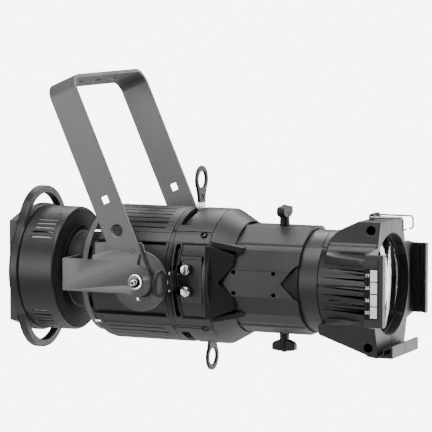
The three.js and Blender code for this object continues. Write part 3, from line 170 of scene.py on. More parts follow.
def rod(axis, middle, radius, length, sides=32):
    turn = {"X": (0, math.pi / 2, 0), "Y": (math.pi / 2, 0, 0), "Z": (0, 0, 0)}[axis]
    pick()
    bpy.ops.mesh.primitive_cylinder_add(
        vertices=sides, radius=radius * mm, depth=length * mm,
        location=Vector(middle) * mm, rotation=turn)
    return fixPlace(bpy.context.object)


def beamRod(x0, x1, radius, sides=128):
    return rod("X", ((x0 + x1) / 2, 0, 0), radius, x1 - x0, sides)


def sideRod(side, y0, y1, radius, sides=32):
    return rod("Y", (0, side * (y0 + y1) / 2, 0), radius, y1 - y0, sides)


def around(angle, radius):
    # y and z for an angle about the beam: 0 is the near side, 90 the top, 180 the far side
    a = math.radians(angle)
    return -math.cos(a) * radius, math.sin(a) * radius


def radialBlock(x0, x1, angle, width, inner, outer):
    return cube(((x0 + x1) / 2, *around(angle, (inner + outer) / 2)), (x1 - x0, outer - inner, width),
                (-math.radians(angle), 0, 0))


def span(side, inner, outer):
    return sorted((side * inner, side * outer))


def joined(objects, name=None):
    pick(*objects)
    if len(objects) > 1:
        bpy.ops.object.join()
    return named(bpy.context.object, name) if name else bpy.context.object


def carve(target, *tools, kind="DIFFERENCE"):
    tool = joined(tools)
    modify(target, "BOOLEAN", operation=kind, solver="EXACT", object=tool)
    bpy.data.objects.remove(tool, do_unlink=True)
    return target


def fuse(target, *tools):
    return carve(target, *tools, kind="UNION")


def carveEach(target, tools):
    # for tools that cross each other
    for tool in tools:
        carve(target, tool)


def soften(obj, width, segments=2, angle=32, flatten=True):
    tidyFaces(obj, 0.02, 0.4 if flatten else 0, outward=False)
    modify(obj, "BEVEL", width=width * mm, segments=segments, limit_method="ANGLE",
           angle_limit=math.radians(angle), use_clamp_overlap=False)
    bpy.ops.object.shade_smooth_by_angle(angle=math.radians(42))
    return modify(obj, "WEIGHTED_NORMAL", keep_sharp=True)


def copied(obj, name, turn=(0, 0, 0), shift=(0, 0, 0), scale=(1, 1, 1)):
    pick(obj)
    bpy.ops.object.duplicate()
    twin = named(bpy.context.object, name)
    twin.scale = scale
    return fixPlace(twin, turn, shift)


def mirrored(obj, name):
    return tidyFaces(copied(obj, name, scale=(1, -1, 1)), merge=0)


def arc(u, v, radius, start, end, steps):
    turns = [math.radians(start + (end - start) * i / steps) for i in range(steps + 1)]
    return [(u + radius * math.cos(a), v + radius * math.sin(a)) for a in turns]


def paint(obj, finishName):
    obj.data.materials.clear()
    obj.data.materials.append(look[finishName])


def settle(obj, body, slotName, finishName, *replaced, lean=0.0):
    fixPlace(obj, (0, lean, 0), tiltAxis)
    paint(obj, finishName)
    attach(obj, body)
    if replaced:
        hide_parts(*replaced)


# Finishes

def feed(tree, node, inputs):
    # an input gets a value, or a link from a socket
    for key, value in inputs.items():
        if isinstance(value, bpy.types.NodeSocket):
            tree.links.new(value, node.inputs[key])
        else:
            node.inputs[key].default_value = value


def addNode(tree, kind, inputs=None, **settings):
    node = tree.nodes.new("ShaderNode" + kind)
    for setting, value in settings.items():
        setattr(node, setting, value)
    feed(tree, node, inputs or {})
    return node


def ranged(tree, socket, before, after):
    node = addNode(tree, "MapRange", {
        "Value": socket, "From Min": before[0], "From Max": before[1],
        "To Min": after[0], "To Max": after[1]})
    return node.outputs["Result"]


usualFinish = {
    "stretch": (1, 1, 1), "cloud": 14, "cloudDetail": 5, "grain": 900, "detail": 3, "grainRough": 0.6,
    "grainShare": 0.55, "colourRange": (0.34, 0.68), "roughRange": (0.3, 0.7), "wearRange": (0.53, 0.66),
    "wear": 0.0, "bump": 0.2, "depth": 0.1, "metal": 0.0, "specular": 0.5, "coat": 0.0, "coatRough": 0.3,
    "clear": 0.0, "ior": 1.5,
}


def finish(name, values):
    # base colour and roughness from a broad cloud and a fine grain, bump from the grain
    v = {**usualFinish, "wornTo": values["light"], **values}
    material = bpy.data.materials.new(name)
    material.use_nodes = True
    tree = material.node_tree
    place = addNode(tree, "TexCoord").outputs["Object"]
    mapping = addNode(tree, "Mapping", {"Vector": place, "Scale": v["stretch"]})
    cloud = addNode(tree, "TexNoise", {"Vector": place, "Scale": v["cloud"], "Detail": v["cloudDetail"]})
    grain = addNode(tree, "TexNoise", {
        "Vector": mapping.outputs["Vector"], "Scale": v["grain"], "Detail": v["detail"],
        "Roughness": v["grainRough"]})
    blend = addNode(tree, "Mix", {
        0: v["grainShare"], 2: cloud.outputs["Fac"], 3: grain.outputs["Fac"]}, data_type="FLOAT").outputs[0]
    colours = addNode(tree, "ValToRGB", {"Fac": blend})
    for i, shade in enumerate((v["dark"], v["light"])):
        colours.color_ramp.elements[i].position = v["colourRange"][i]
        colours.color_ramp.elements[i].color = (*shade, 1)
    edges = addNode(tree, "NewGeometry").outputs["Pointiness"]
    worn = addNode(tree, "Mix", {
        0: ranged(tree, edges, v["wearRange"], (0, v["wear"])), 6: colours.outputs["Color"],
        7: (*v["wornTo"], 1)}, data_type="RGBA")
    bump = addNode(tree, "Bump", {
        "Strength": v["bump"], "Distance": v["depth"] * mm, "Height": grain.outputs["Fac"]})
    feed(tree, tree.nodes["Principled BSDF"], {
        "Base Color": worn.outputs[2], "Roughness": ranged(tree, blend, v["roughRange"], v["rough"]),
        "Normal": bump.outputs["Normal"], "Metallic": v["metal"], "Specular IOR Level": v["specular"],
        "Coat Weight": v["coat"], "Coat Roughness": v["coatRough"], "Transmission Weight": v["clear"],
        "IOR": v["ior"]})
    return material


finishes = {
    "satinCasting": {"dark": (0.008, 0.0075, 0.0072), "light": (0.019, 0.0176, 0.0166),
        "rough": (0.36, 0.52), "bump": 0.45, "depth": 0.12, "specular": 0.4, "wear": 0.5,
        "wornTo": (0.055, 0.052, 0.048)},
    # a darker copy of the satin casting: the own colour of the dark parts, and painted shade on the nose
    # faces
    "darkCastingAndPaintedShade": {"dark": (0.004, 0.004, 0.0045), "light": (0.01, 0.0095, 0.01), "rough": (0.45, 0.62),
        "bump": 0.4, "depth": 0.12, "specular": 0.3, "wear": 0.4, "wornTo": (0.03, 0.03, 0.03)},
    "greyPaint": {"dark": (0.058, 0.053, 0.057), "light": (0.088, 0.08, 0.086), "grain": 1100, "cloud": 9,
        "rough": (0.36, 0.5), "bump": 0.35, "wear": 0.6, "wornTo": (0.22, 0.21, 0.22)},
    "paleCasting": {"dark": (0.055, 0.053, 0.057), "light": (0.09, 0.087, 0.092), "rough": (0.42, 0.58),
        "bump": 0.4, "depth": 0.12, "wear": 0.4, "wornTo": (0.16, 0.16, 0.16)},
    # light-grey metal for the vent screen, made paler as painted light where the drum shades it
    "paleMetalAndPaintedLight": {"dark": (0.5, 0.49, 0.5), "light": (0.66, 0.65, 0.66), "rough": (0.4, 0.55),
        "depth": 0.05},
    "bareAluminium": {"dark": (0.45, 0.45, 0.46), "light": (0.62, 0.62, 0.63), "grain": 500,
        "stretch": (0.08, 1, 1), "rough": (0.28, 0.42), "bump": 0.15, "depth": 0.05, "metal": 1.0},
    "brightSteel": {"dark": (0.62, 0.61, 0.6), "light": (0.8, 0.79, 0.78), "grain": 1300,
        "rough": (0.16, 0.28), "bump": 0.1, "depth": 0.03, "metal": 1.0},
    "mouldedPlastic": {"dark": (0.016, 0.016, 0.017), "light": (0.032, 0.031, 0.032), "grain": 1600,
        "rough": (0.34, 0.48), "bump": 0.3, "depth": 0.06, "wear": 0.5, "wornTo": (0.09, 0.09, 0.09)},
    "dullPlate": {"dark": (0.05, 0.05, 0.05), "light": (0.09, 0.09, 0.09), "grain": 700,
        "rough": (0.35, 0.5), "depth": 0.05, "metal": 0.8},
    "boardGreen": {"dark": (0.01, 0.06, 0.03), "light": (0.02, 0.1, 0.05), "grain": 300,
        "rough": (0.3, 0.5)},
    "lensGlass": {"dark": (0.93, 0.94, 0.95), "light": (1, 1, 1), "grain": 40, "rough": (0.0, 0.02),
        "bump": 0.02, "depth": 0.02, "clear": 1.0},
    "mirrorCoat": {"dark": (0.85, 0.85, 0.86), "light": (0.93, 0.93, 0.94), "grain": 300,
        "rough": (0.04, 0.1), "bump": 0.1, "depth": 0.05, "metal": 1.0},
    "displayGlass": {"dark": (0.008, 0.012, 0.016), "light": (0.016, 0.022, 0.028), "grain": 200,
        "rough": (0.06, 0.12), "bump": 0.05, "depth": 0.02, "coat": 1.0, "coatRough": 0.05},
    "blackFelt": {"dark": (0.004, 0.004, 0.004), "light": (0.01, 0.01, 0.01), "grain": 1500,
        "rough": (0.8, 0.95), "bump": 0.8, "depth": 0.2},
    "scaleBlack": {"dark": (0.002, 0.002, 0.0022), "light": (0.005, 0.005, 0.005), "grain": 800,
        "rough": (0.4, 0.52), "bump": 0.1, "depth": 0.03, "specular": 0.15},
    "blackOxide": {"dark": (0.03, 0.03, 0.032), "light": (0.06, 0.06, 0.062), "grain": 600,
        "rough": (0.14, 0.24), "bump": 0.1, "depth": 0.02, "metal": 1.0},
    "springSteel": {"dark": (0.16, 0.15, 0.15), "light": (0.26, 0.25, 0.25), "rough": (0.22, 0.36),
        "bump": 0.1, "depth": 0.02, "metal": 1.0},
    "scaleWhite": {"dark": (0.72, 0.72, 0.74), "light": (0.85, 0.85, 0.87), "grain": 700,
        "rough": (0.35, 0.5), "bump": 0.1, "depth": 0.03},
}
look = {name: finish(name, values) for name, values in finishes.items()}
print("spotlight: finishes mixed")


# Camera, lights and floor

studio = {
    "target": (0.1743, 0.0, -0.1777), "back": (0.4017, -0.9107, 0.0967),  # back: from target to camera
    "distance": 3.51, "lens": 225, "sensor": 36, "sight": 200,
    "floor": (12.0, 1.7),  # width, depth below the pivot height
    "paper": {"dark": (0.9, 0.9, 0.9), "light": (0.94, 0.94, 0.94), "grain": 60, "rough": (0.8, 0.95),
              "bump": 0.05},
    "softboxes": {  # name: place, width, height, power
        "endBox": ((2.35, 1.0, -0.2), 0.9, 2.6, 150),
        "topBox": ((0.2, -0.6, 1.2), 1.8, 0.6, 44),
        "backBox": ((0.1, 1.15, 1.15), 2.0, 0.9, 42),
        "leftBox": ((-1.3, -2.6, 0.1), 1.0, 1.1, 50),
        "lensBox": ((1.5, 1.91, -0.4), 0.34, 2.5, 38),
    },
    # the room is brightest above and behind the lamp; seen: what the camera sees of it
    "bright": (-0.25, 0.7, 0.67), "brightRange": (-0.35, 0.95), "strength": (0.11, 0.9), "seen": 9.0,
    "floorTone": 0.98,
}


def faceTarget(obj):
    obj.rotation_euler = (Vector(studio["target"]) - obj.location).to_track_quat("-Z", "Y").to_euler()
    return obj.data


def forCamera(tree, usual, seen, surface):
    # camera rays meet the second shader, all other rays the first
    rays = addNode(tree, "LightPath").outputs["Is Camera Ray"]
    tree.links.new(addNode(tree, "MixShader", {0: rays, 1: usual, 2: seen}).outputs[0], surface)


def buildStudio():
    s = studio
    place = Vector(s["target"]) + Vector(s["back"]).normalized() * s["distance"]
    bpy.ops.object.camera_add(location=place)
    bpy.context.scene.camera = named(bpy.context.object, "photoCamera")
    camera = faceTarget(bpy.context.object)
    camera.lens, camera.sensor_width, camera.clip_end = s["lens"], s["sensor"], s["sight"]
    for name, (spot, width, height, power) in s["softboxes"].items():
        bpy.ops.object.light_add(type="AREA", location=spot)
        lamp = faceTarget(named(bpy.context.object, name))
        lamp.shape = "RECTANGLE"
        lamp.size, lamp.size_y, lamp.energy = width, height, power
    world = bpy.data.worlds.new("studioSky")
    bpy.context.scene.world = world
    world.use_nodes = True
    tree = world.node_tree
    room = tree.nodes["Background"]
    facing = addNode(tree, "VectorMath", {
        0: addNode(tree, "TexCoord").outputs["Generated"], 1: s["bright"]}, operation="DOT_PRODUCT")
    feed(tree, room, {"Strength": ranged(tree, facing.outputs["Value"], s["brightRange"], s["strength"])})
    backdrop = addNode(tree, "Background", {"Strength": s["seen"]})
    forCamera(tree, room.outputs[0], backdrop.outputs[0], tree.nodes["World Output"].inputs["Surface"])
    pick()
    width, drop = s["floor"]
    bpy.ops.mesh.primitive_plane_add(size=width, location=(0, 0, -drop))
    floor = named(bpy.context.object, "studioFloor")
    # the camera sees the floor as bright as the room behind it
    paper = finish("palePaper", s["paper"])
    tree = paper.node_tree
    surface = tree.nodes["Material Output"].inputs["Surface"]
    shine = addNode(tree, "Emission", {
        "Color": tree.nodes["Principled BSDF"].inputs["Base Color"].links[0].from_socket,
        "Strength": s["seen"] / s["floorTone"]})
    forCamera(tree, surface.links[0].from_socket, shine.outputs[0], surface)
    floor.data.materials.append(paper)


buildStudio()
print("spotlight: studio ready")


# Yoke: a flat strap bent into a U

yokeValues = {
    "reach": 278, "lean": 23.6, "half": 108, "strapHalf": 20, "thick": 5, "bend": 21, "boltHole": 4.3,
    "roundHole": (70, 8), "squareHole": (112.5, 5), "hangHole": 6.5, "slot": (50, 14, 7), "edge": 0.8,
}


def makeYoke():
    v = yokeValues
    half, reach, bend, thick, strapHalf = v["half"], v["reach"], v["bend"], v["thick"], v["strapHalf"]
    inner, foot, past = half - thick, -strapHalf - 2, half + 5
    outline = [(half, foot)]
    outline += arc(half - bend, reach - bend, bend, 0, 90, 14)
    outline += arc(bend - half, reach - bend, bend, 90, 180, 14)
    outline += [(-half, foot), (-inner, foot)]
    outline += arc(bend - half, reach - bend, bend - thick, 180, 90, 14)
    outline += arc(half - bend, reach - bend, bend - thick, 90, 0, 14)
    outline += [(inner, foot)]
    strap = plate("yokeStrap", outline, "X", -strapHalf - 1, strapHalf + 1)
    side = arc(0, 0, strapHalf, 180, 360, 40) + [(strapHalf, reach + 5), (-strapHalf, reach + 5)]
    carve(strap, plate("footTool", side, "Y", -past, past), kind="INTERSECT")
    roundReach, roundRadius = v["roundHole"]
    squareReach, squareHalf = v["squareHole"]
    spread, length, width = v["slot"]
    tools = [
        rod("Y", (0, 0, 0), v["boltHole"], 2 * past),
        rod("Y", (0, 0, roundReach), roundRadius, 2 * past, 48),
        block(-squareHalf, squareHalf, -past, past, squareReach - squareHalf, squareReach + squareHalf),
        rod("Z", (0, 0, reach - thick / 2), v["hangHole"], 12, 40),
    ]
    straight = (length - width) / 2
    for middle in (-spread, spread):
        slot = arc(0, middle + straight, width / 2, 0, 180, 12)
        slot += arc(0, middle - straight, width / 2, 180, 360, 12)
        tools.append(plate("slotTool", slot, "Z", reach - thick - 4, reach + 4))
    carveEach(strap, tools)
    soften(strap, v["edge"], 3, flatten=False)
    settle(strap, "yoke", "grey_sheet", "greyPaint", "yoke", lean=-math.radians(v["lean"]))


makeYoke()
print("spotlight: yoke made")


# Tilt joint, alike on both sides: made for the far side and mirrored

jointValues = {
    "plateRadius": 39, "plateFaces": (98, 101),
    "wing": [(-62.4, 24.96), (7.8, 0), (7.8, 37.8), (5.9, 46), (2, 49.9), (-46.8, 48.4), (-62.4, 46)],
    "discRadius": 24, "discFaces": (101.3, 102.6), "armFaces": (108.3, 111.3), "armRear": -104.6,
    "armFlange": (-104.6, -101.6, 52), "armTop": 26, "armDrop": 16, "boltHole": (4.3, 20),
    "armBevel": [(112.8, 16), (112.8, 58), (108.9, 58), (108.9, 42)], "lobe": 20.5, "lobeEnd": 57,
    "crest": [(0.1, 1.09), (0.29, 1.78), (0.39, 1.85), (-0.02, 1.83), (-0.22, 2.09), (-1.87, 1.97),
        (-3.04, 1.52), (-2.93, 1.27)],
    "nut": [(111.6, 4.3), (111.6, 9.4), (112.2, 10), (113.6, 10), (114.1, 9.7), (114.2, 9.2), (114.1, 7.6),
        (113.7, 7.3), (112.5, 7.2), (112.4, 4.3), (111.6, 4.3)],
    "cupPaintedShade": [(112.45, 4.2), (112.45, 7.1), (112.7, 7.1), (112.8, 4.2), (112.45, 4.2)],
    "stopScrew": [(101, 0), (101, 2.7), (102.2, 2.7), (102.8, 2.1), (102.95, 1.2), (102.95, 0)],
    "stopPlace": (-1, -23),
    "bolt": [(84, 0), (84, 4), (121.6, 4), (122.6, 3.5), (123, 2.8), (123, 2.1), (117.5, 2), (117.2, 0)],
}


def makeTiltJoint():
    v = jointValues
    inner, outer = v["plateFaces"]
    disc = plate("pivotPlateFar", arc(0, 0, v["plateRadius"], 0, 354, 59), "Y", inner, outer)
    fuse(disc, plate("wingTool", v["wing"], "Y", inner, outer))
    carve(disc, rod("Y", (0, inner, 0), *v["boltHole"]))
    washer = plate("frictionDiscFar", arc(0, 0, v["discRadius"], 0, 352.5, 47), "Y", *v["discFaces"])
    carve(washer, rod("Y", (0, v["discFaces"][0], 0), *v["boltHole"]))
    low, high = v["armFaces"]
    lobe, top, drop = v["lobe"], v["armTop"], v["armDrop"]
    outline = [(v["armRear"], top), (v["armRear"], -drop)]
    outline += arc(0, 0, lobe, 180 + math.degrees(math.asin(drop / lobe)), 360 + v["lobeEnd"], 44)
    outline += [(a * lobe, b * lobe) for a, b in v["crest"]]
    arm = plate("sideArmFar", outline, "Y", low, high)
    fuse(arm, block(*v["armFlange"], high - 0.01, 0.01 - drop, top - 0.01))
    carve(arm, plate("bevelTool", v["armBevel"], "X", -3.3 * lobe, -0.1 * lobe),
          rod("Y", (0, low, 0), *v["boltHole"]))
    nut = turned("cupNutFar", v["nut"], 48, "Y")
    bolt = turned("pivotBoltFar", v["bolt"], 40, "Y")
    # a dark oxide disc in the cup nut's dish: painted shade in the hollow of the dish
    cupPaintedShade = turned("cupFloorFar", v["cupPaintedShade"], 48, "Y")
    x, z = v["stopPlace"]
    stop = turned("stopScrewFar", v["stopScrew"], 32, "Y", (x, 0, z))
    pieces = [
        (cupPaintedShade, (0.1, 1, 40), "bright_steel", "blackOxide", None),
        (stop, (0.1, 1, 40), "bright_steel", "brightSteel", None),
        (disc, (0.5,), "grey_sheet", "greyPaint", "pivot_plate_"),
        (washer, (0.3, 1), "black_plastic", "mouldedPlastic", "friction_disc_"),
        (arm, (0.45,), "grey_sheet", "greyPaint", "side_arm_"),
        (nut, (0.15, 1, 40), "bright_steel", "brightSteel", "cup_nut_"),
        (bolt, (0.15, 1, 40), "bright_steel", "brightSteel", "pivot_bolt_"),
    ]
    for far, edge, slotName, finishName, node in pieces:
        soften(far, *edge)
        near = mirrored(far, far.name.replace("Far", "Near"))
        for obj, side in ((far, "far"), (near, "near")):
            settle(obj, "lamp_body", slotName, finishName, *([node + side] if node else []))


makeTiltJoint()
print("spotlight: tilt joint made")


# Reflector housing: the finned middle of the body

housingValues = {
    "profile": [(-85, 76), (-85, 79.4), (-84.4, 80), (-77.5, 86), (-70, 88), (28.9, 88), (29.85, 87.2),
        (29.85, 80.5), (-79, 80.5), (-82, 76), (-85, 76)],
    "recess": (-78, 25.85, 84, 48),  # rear, front, radius, half height
    "railEnds": (-68, 31), "rail": (13.4, 87.25, 95), "railTurns": (38.5, 141.5, -38.5, -141.5),
    "fins": (15, 6), "finEnds": (-64, 17.85), "fin": (1.65, 86.25, 92),  # fins: count, pitch
    "boss": (74, 97.7, 24), "bossBore": 80.55, "boltHole": (83, 99.7, 4.3), "edge": 0.5,
    "airHoles": (30, -33), "airHole": (-81.5, 78, 9.5, 0.34), "seats": (57.5, -59.5),
    "seat": (-84, -72, 58, 70, 2.6), "seatScrew": (-76.5, 62.5, 2.1, 9),
}


def makeReflectorHousing():
    v = housingValues
    shell = turned("reflectorHousing", v["profile"], 128)
    rear, front, radius, half = v["recess"]
    for side in (-1, 1):
        skin = block(rear, front, *span(side, 40, 95), -half, half)
        carve(skin, beamRod(rear - 10, front + 10, radius))
        carve(shell, skin)
    # flat rails above and below the recess
    for angle in v["railTurns"]:
        carve(shell, radialBlock(*v["railEnds"], angle, *v["rail"]))
    count, pitch = v["fins"]
    carve(shell, *[radialBlock(*v["finEnds"], middle + (i - (count - 1) / 2) * pitch, *v["fin"])
                   for i in range(count) for middle in (90, -90)])
    for side in (-1, 1):
        post = sideRod(side, *v["boss"], 48)
        carve(post, beamRod(-40, 40, v["bossBore"]))
        fuse(shell, post)
        carve(shell, sideRod(side, *v["boltHole"]))
    # lens-shaped air holes and screw seats in the tapered rear end
    tools = []
    for side in (-1, 1):
        x, reach, radius, flat = v["airHole"]
        for height in v["airHoles"]:
            hole = rod("Y", (0, side * reach, height), radius, 24)
            hole.scale = (flat, 1, 1)
            tools.append(fixPlace(hole, shift=(x, 0, 0)))
        x0, x1, inner, outer, half = v["seat"]
        tools += [block(x0, x1, *span(side, inner, outer), z - half, z + half) for z in v["seats"]]
    carve(shell, *tools)
    soften(shell, v["edge"])
    settle(shell, "lamp_body", "black_casting", "satinCasting", "reflector_housing")
    x, reach, radius, length = v["seatScrew"]
    screws = joined([rod("X", (x, side * reach, z), radius, length, 16)
                     for side in (-1, 1) for z in v["seats"]], "rearSeatScrews")
    settle(soften(screws, 0.4), "lamp_body", "bright_steel", "brightSteel")


makeReflectorHousing()
print("spotlight: reflector housing made")


# Bulkhead, neck, drum, handle ring and rear cover

rearValues = {
    "bulkhead": [(-94, 52), (-94, 78.6), (-92.8, 80), (-85.3, 80), (-85.3, 52), (-94, 52)],
    "neck": [(-133.7, 46), (-133.7, 57.2), (-132.9, 58), (-130.7, 58), (-130.7, 51.5), (-129.2, 50),
        (-102.6, 50), (-101.3, 51.4), (-101.3, 69.4), (-100.7, 70), (-98.9, 70), (-98.3, 69.4), (-98.3, 50),
        (-94.3, 50), (-94.3, 46), (-133.7, 46)],
    "drum": [(-184.7, 79.5), (-184.7, 81.5), (-184.2, 82), (-137.4, 82), (-135.6, 81.6), (-134.4, 80.8),
        (-134, 79.8), (-134, 78.6), (-135.3, 77.2), (-135.3, 52.6), (-134, 51.4), (-134, 50.3),
        (-137, 50.3), (-137, 79.5), (-184.7, 79.5)],
    "vents": [(35.3, 29.1), (-38.8, 24)],  # first slot's angle, length
    # screen: the light-grey metal behind the vent slots, made paler as painted light where the drum shades
    # it
    "screen": (-178, -141, 79.1, 80.2), "screenSeat": (-178.3, -140.7, 80.3),
    # shade: a black felt ring over the drum's front face, painted shade where the housing shadows it
    "shade": (-135.2, -134.7, 52.9, 76.9), "ventPitch": 5.2, "ventRear": -172.5, "vent": (2.6, 76, 86),
    "airRing": (66, 6), "nicks": (65.4, 114.6, -65.4, -114.6), "nick": (2.4, 76, 86),
    "handle": (-196.6, -185, 85, 79, 44.5, 64, 54), "loopEdge": 1.6,
}


def makeDrum():
    v = rearValues
    bulkhead = turned("rearBulkhead", v["bulkhead"])
    reach, radius = v["airRing"]
    carve(bulkhead, *[rod("X", (-90, *around(22.5 + 45 * i, reach)), radius, 20, 24) for i in range(8)])
    settle(soften(bulkhead, 0.5), "lamp_body", "pale_casting", "paleCasting", "rear_bulkhead")
    neck = soften(turned("neckHousing", v["neck"]), 0.3)
    settle(neck, "lamp_body", "black_casting", "darkCastingAndPaintedShade", "neck_housing")

    drum = turned("drumShell", v["drum"], 128)
    carve(drum, beamRod(*v["screenSeat"]))
    tools = []
    for first, length in v["vents"]:
        for i in range(5):
            angle = first + math.copysign(i * v["ventPitch"], first)
            for side in (angle, 180 - angle):
                tools.append(radialBlock(v["ventRear"], v["ventRear"] + length, side, *v["vent"]))
    tools += [radialBlock(-148.2, -144.4, angle, *v["nick"]) for angle in v["nicks"]]
    carve(drum, *tools)
    settle(soften(drum, 0.35), "lamp_body", "black_casting", "satinCasting", "drum_shell")
    # the light-grey metal behind the vent slots, made paler as painted light where the drum shades it
    screen = soften(sleeve("ventScreen", *v["screen"]), 0.1, 1)
    settle(screen, "lamp_body", "pale_casting", "paleMetalAndPaintedLight")
    # a black felt ring over the drum's front face: painted shade, where the housing shadows it
    shade = soften(sleeve("drumFrontPaintedShade", *v["shade"]), 0.15, 1)
    settle(shade, "lamp_body", "black_casting", "blackFelt")

    rear, front, radius, bore, middle, loop, inside = v["handle"]
    centre = (rear + front) / 2
    hoop = named(beamRod(rear, front, radius), "handleRing")
    for side in (-1, 1):
        ringTool = rod("X", (centre, 0, side * middle), loop, front - rear - 0.02, 96)
        carve(ringTool, rod("X", (centre, 0, side * middle), inside, 30, 96))
        fuse(hoop, ringTool)
    carve(hoop, rod("X", (centre, 0, 0), bore, 30, 128))
    settle(soften(hoop, v["loopEdge"], 3), "lamp_body", "black_casting", "satinCasting", "handle_ring")


makeDrum()
print("spotlight: drum and handle ring made")

coverValues = {
    "faces": (-208.9, -196.9), "flange": 2, "wall": 2.5, "radius": 82,
    "outline": [(60, -66), (60, 66), (20, 78), (-20, 78), (-60, 66), (-60, -66), (-20, -78), (20, -78)],
    "display": (-23.3, 23.3, 25.7, 44.3), "buttons": (-24, -8, 8, 24), "buttonRise": 12, "buttonHole": 4.3,
    "inlet": (-43.3, -16.7, -44.8, -25.2), "data": (2, -35, 10.3), "edge": 0.6,
    "screws": ((52, 60), (-52, 60), (52, -60), (-52, -60)), "screwSeat": 3.4, "screwHead": 2.9,
    "window": (-208.9, -206.9, -23, 23, 26, 44),
    "button": [(-210.4, 0), (-210.4, 2.6), (-210.2, 3.4), (-209.4, 4), (-206.1, 4), (-206.1, 5.5),
        (-204.6, 5.5), (-204.6, 0)],
    "inletFace": (-211.2, -209.2, -46, -14, -47.5, -22.5),
    "inletBox": (-211.1, -199.2, -43, -17, -44.5, -25.5),
    "inletHollow": (-213, -201.2, -41, -19, -42.5, -27.5),
    "inletPins": ((-37, -35), (-23, -35), (-30, -32.2)), "dataFace": (-211.2, -209.2, -11, 15, -48, -22),
    "dataTube": (-205.15, 10, 11.9), "dataHollow": (-207.2, 8, 12),
    "dataPins": (3, 4, 1),  # count, reach, radius
}


def makeRearCover():
    v = coverValues
    rear, front = v["faces"]
    cover = named(beamRod(front - v["flange"], front, v["radius"]), "rearCover")
    fuse(cover, plate("boxTool", v["outline"], "X", rear, front - 0.5))
    shrink = [(u * (1 - v["wall"] / 60), w * (1 - v["wall"] / 70)) for u, w in v["outline"]]
    carve(cover, plate("hollowTool", shrink, "X", rear + v["wall"], front + 3))
    dataY, dataZ, dataRadius = v["data"]
    tools = [block(rear - 3, rear + 5, *v[word]) for word in ("display", "inlet")]
    tools += [rod("X", (rear, y, v["buttonRise"]), v["buttonHole"], 12) for y in v["buttons"]]
    tools.append(rod("X", (rear, dataY, dataZ), dataRadius, 12, 40))
    tools += [rod("X", (rear, y, z), v["screwSeat"], 2, 24) for y, z in v["screws"]]
    carve(cover, *tools)
    settle(soften(cover, v["edge"]), "lamp_body", "black_casting", "satinCasting", "rear_cover")
    heads = [carve(rod("X", (rear + 0.5, y, z), v["screwHead"], 1.4, 24),
                   block(rear - 1, rear + 0.2, y - 4, y + 4, z - 0.4, z + 0.4)) for y, z in v["screws"]]
    screws = joined(heads, "coverScrews")
    settle(soften(screws, 0.2, 1), "lamp_body", "bright_steel", "brightSteel")

    window = soften(named(block(*v["window"]), "displayWindow"), 0.4)
    settle(window, "lamp_body", "display_glass", "displayGlass", "display_window")
    for i, y in enumerate(v["buttons"]):
        number = str(i + 1)
        button = turned("menuButton" + number, v["button"], 32, "X", (0, y, v["buttonRise"]))
        soften(button, 0.15, 1, 40)
        settle(button, "menu_button_" + number, "black_plastic", "mouldedPlastic", "button_" + number)

    inlet = named(block(*v["inletFace"]), "powerInlet")
    fuse(inlet, block(*v["inletBox"]))
    carve(inlet, block(*v["inletHollow"]))
    for y, z in v["inletPins"]:
        fuse(inlet, block(-208.2, -200.2, y - 1, y + 1, z - 2, z + 2))
    settle(soften(inlet, 0.3), "lamp_body", "black_plastic", "mouldedPlastic", "power_inlet")

    data = named(block(*v["dataFace"]), "dataIn")
    x, radius, length = v["dataTube"]
    fuse(data, rod("X", (x, dataY, dataZ), radius, length, 48))
    x, radius, length = v["dataHollow"]
    carve(data, rod("X", (x, dataY, dataZ), radius, length, 48))
    count, reach, radius = v["dataPins"]
    for y, z in arc(dataY, dataZ, reach, 90, 330, count - 1):
        fuse(data, rod("X", (-204.5, y, z), radius, 9, 16))
    settle(soften(data, 0.3), "lamp_body", "black_plastic", "mouldedPlastic", "data_in")


makeRearCover()
print("spotlight: rear cover made")

# Shutter housing with its cone, side panels and blade slots

frontValues = {
    "profile": [(30.15, 80.5), (30.15, 87.4), (30.75, 88), (33.4, 88), (33.9, 86.9), (35.3, 86.9),
        (35.8, 88), (86, 88), (86.4, 86.6), (87.8, 86.6), (88.3, 88), (90.2, 87.2), (114.6, 73.2),
        (114.6, 71.8), (110, 71.8), (89.8, 83), (32.15, 83), (32.15, 80.5), (30.15, 80.5)],
    # blade slots and grooves: rear, front, middle, half, inner radius
    "slots": [(37.4, 48.9, 90, 38, 74), (37.4, 48.9, -90, 38, 74), (41, 47.2, 0, 32, 74),
        (36.9, 38.1, 0, 32, 84.4), (41, 47.2, 180, 32, 74), (36.9, 38.1, 180, 32, 84.4)],
    "panel": (49.5, 86, 48), "panelRadius": 86,
    "notch": [(89.8, -43), (89.8, 43), (116.1, 31), (116.1, -31)],
    "nose": [(84.5, 47), (91, 46), (119, 34), (118.5, 22), (98.5, 0), (84.5, 0)],
    "window": (51, 80.5, -95, -70, -27, 33), "windowEars": (52.5, 7.4, (16, -12)),
    "brow": [(86, 49), (90, 52.5), (128.5, 44.5), (128.5, 39.6), (124, 38.6), (86, 46)], "screwPlace": 75,
    "screwTurns": (42, 138, -45, -135), "pocket": (5, 85, 12), "railEnds": (29, 84), "lineEnds": (31, 84.5),
    "line": (6.6, 1.1, 86.3, 95), "slope": [(84.4, 83.6), (120, 69.6), (120, 99), (84.4, 99)],
    "browSlope": [(84, 75.4), (92, 74.6), (130, 61.5), (130, 90), (84, 90)],
    # curved spacers between the shutter blades, beside their paths
    "spacers": ((39.15, 42.55, 0), (44.95, 47.15, 0), (43.75, 46.05, 180)), "spacerBand": (44, 50, 54),
}


def wedge(x0, x1, middle, half, inner, outer, steps=24):
    turns = [middle - half + 2 * half * i / steps for i in range(steps + 1)]
    points = [around(turn, inner) for turn in turns] + [around(turn, outer) for turn in reversed(turns)]
    return plate("wedgeTool", points, "X", x0, x1)


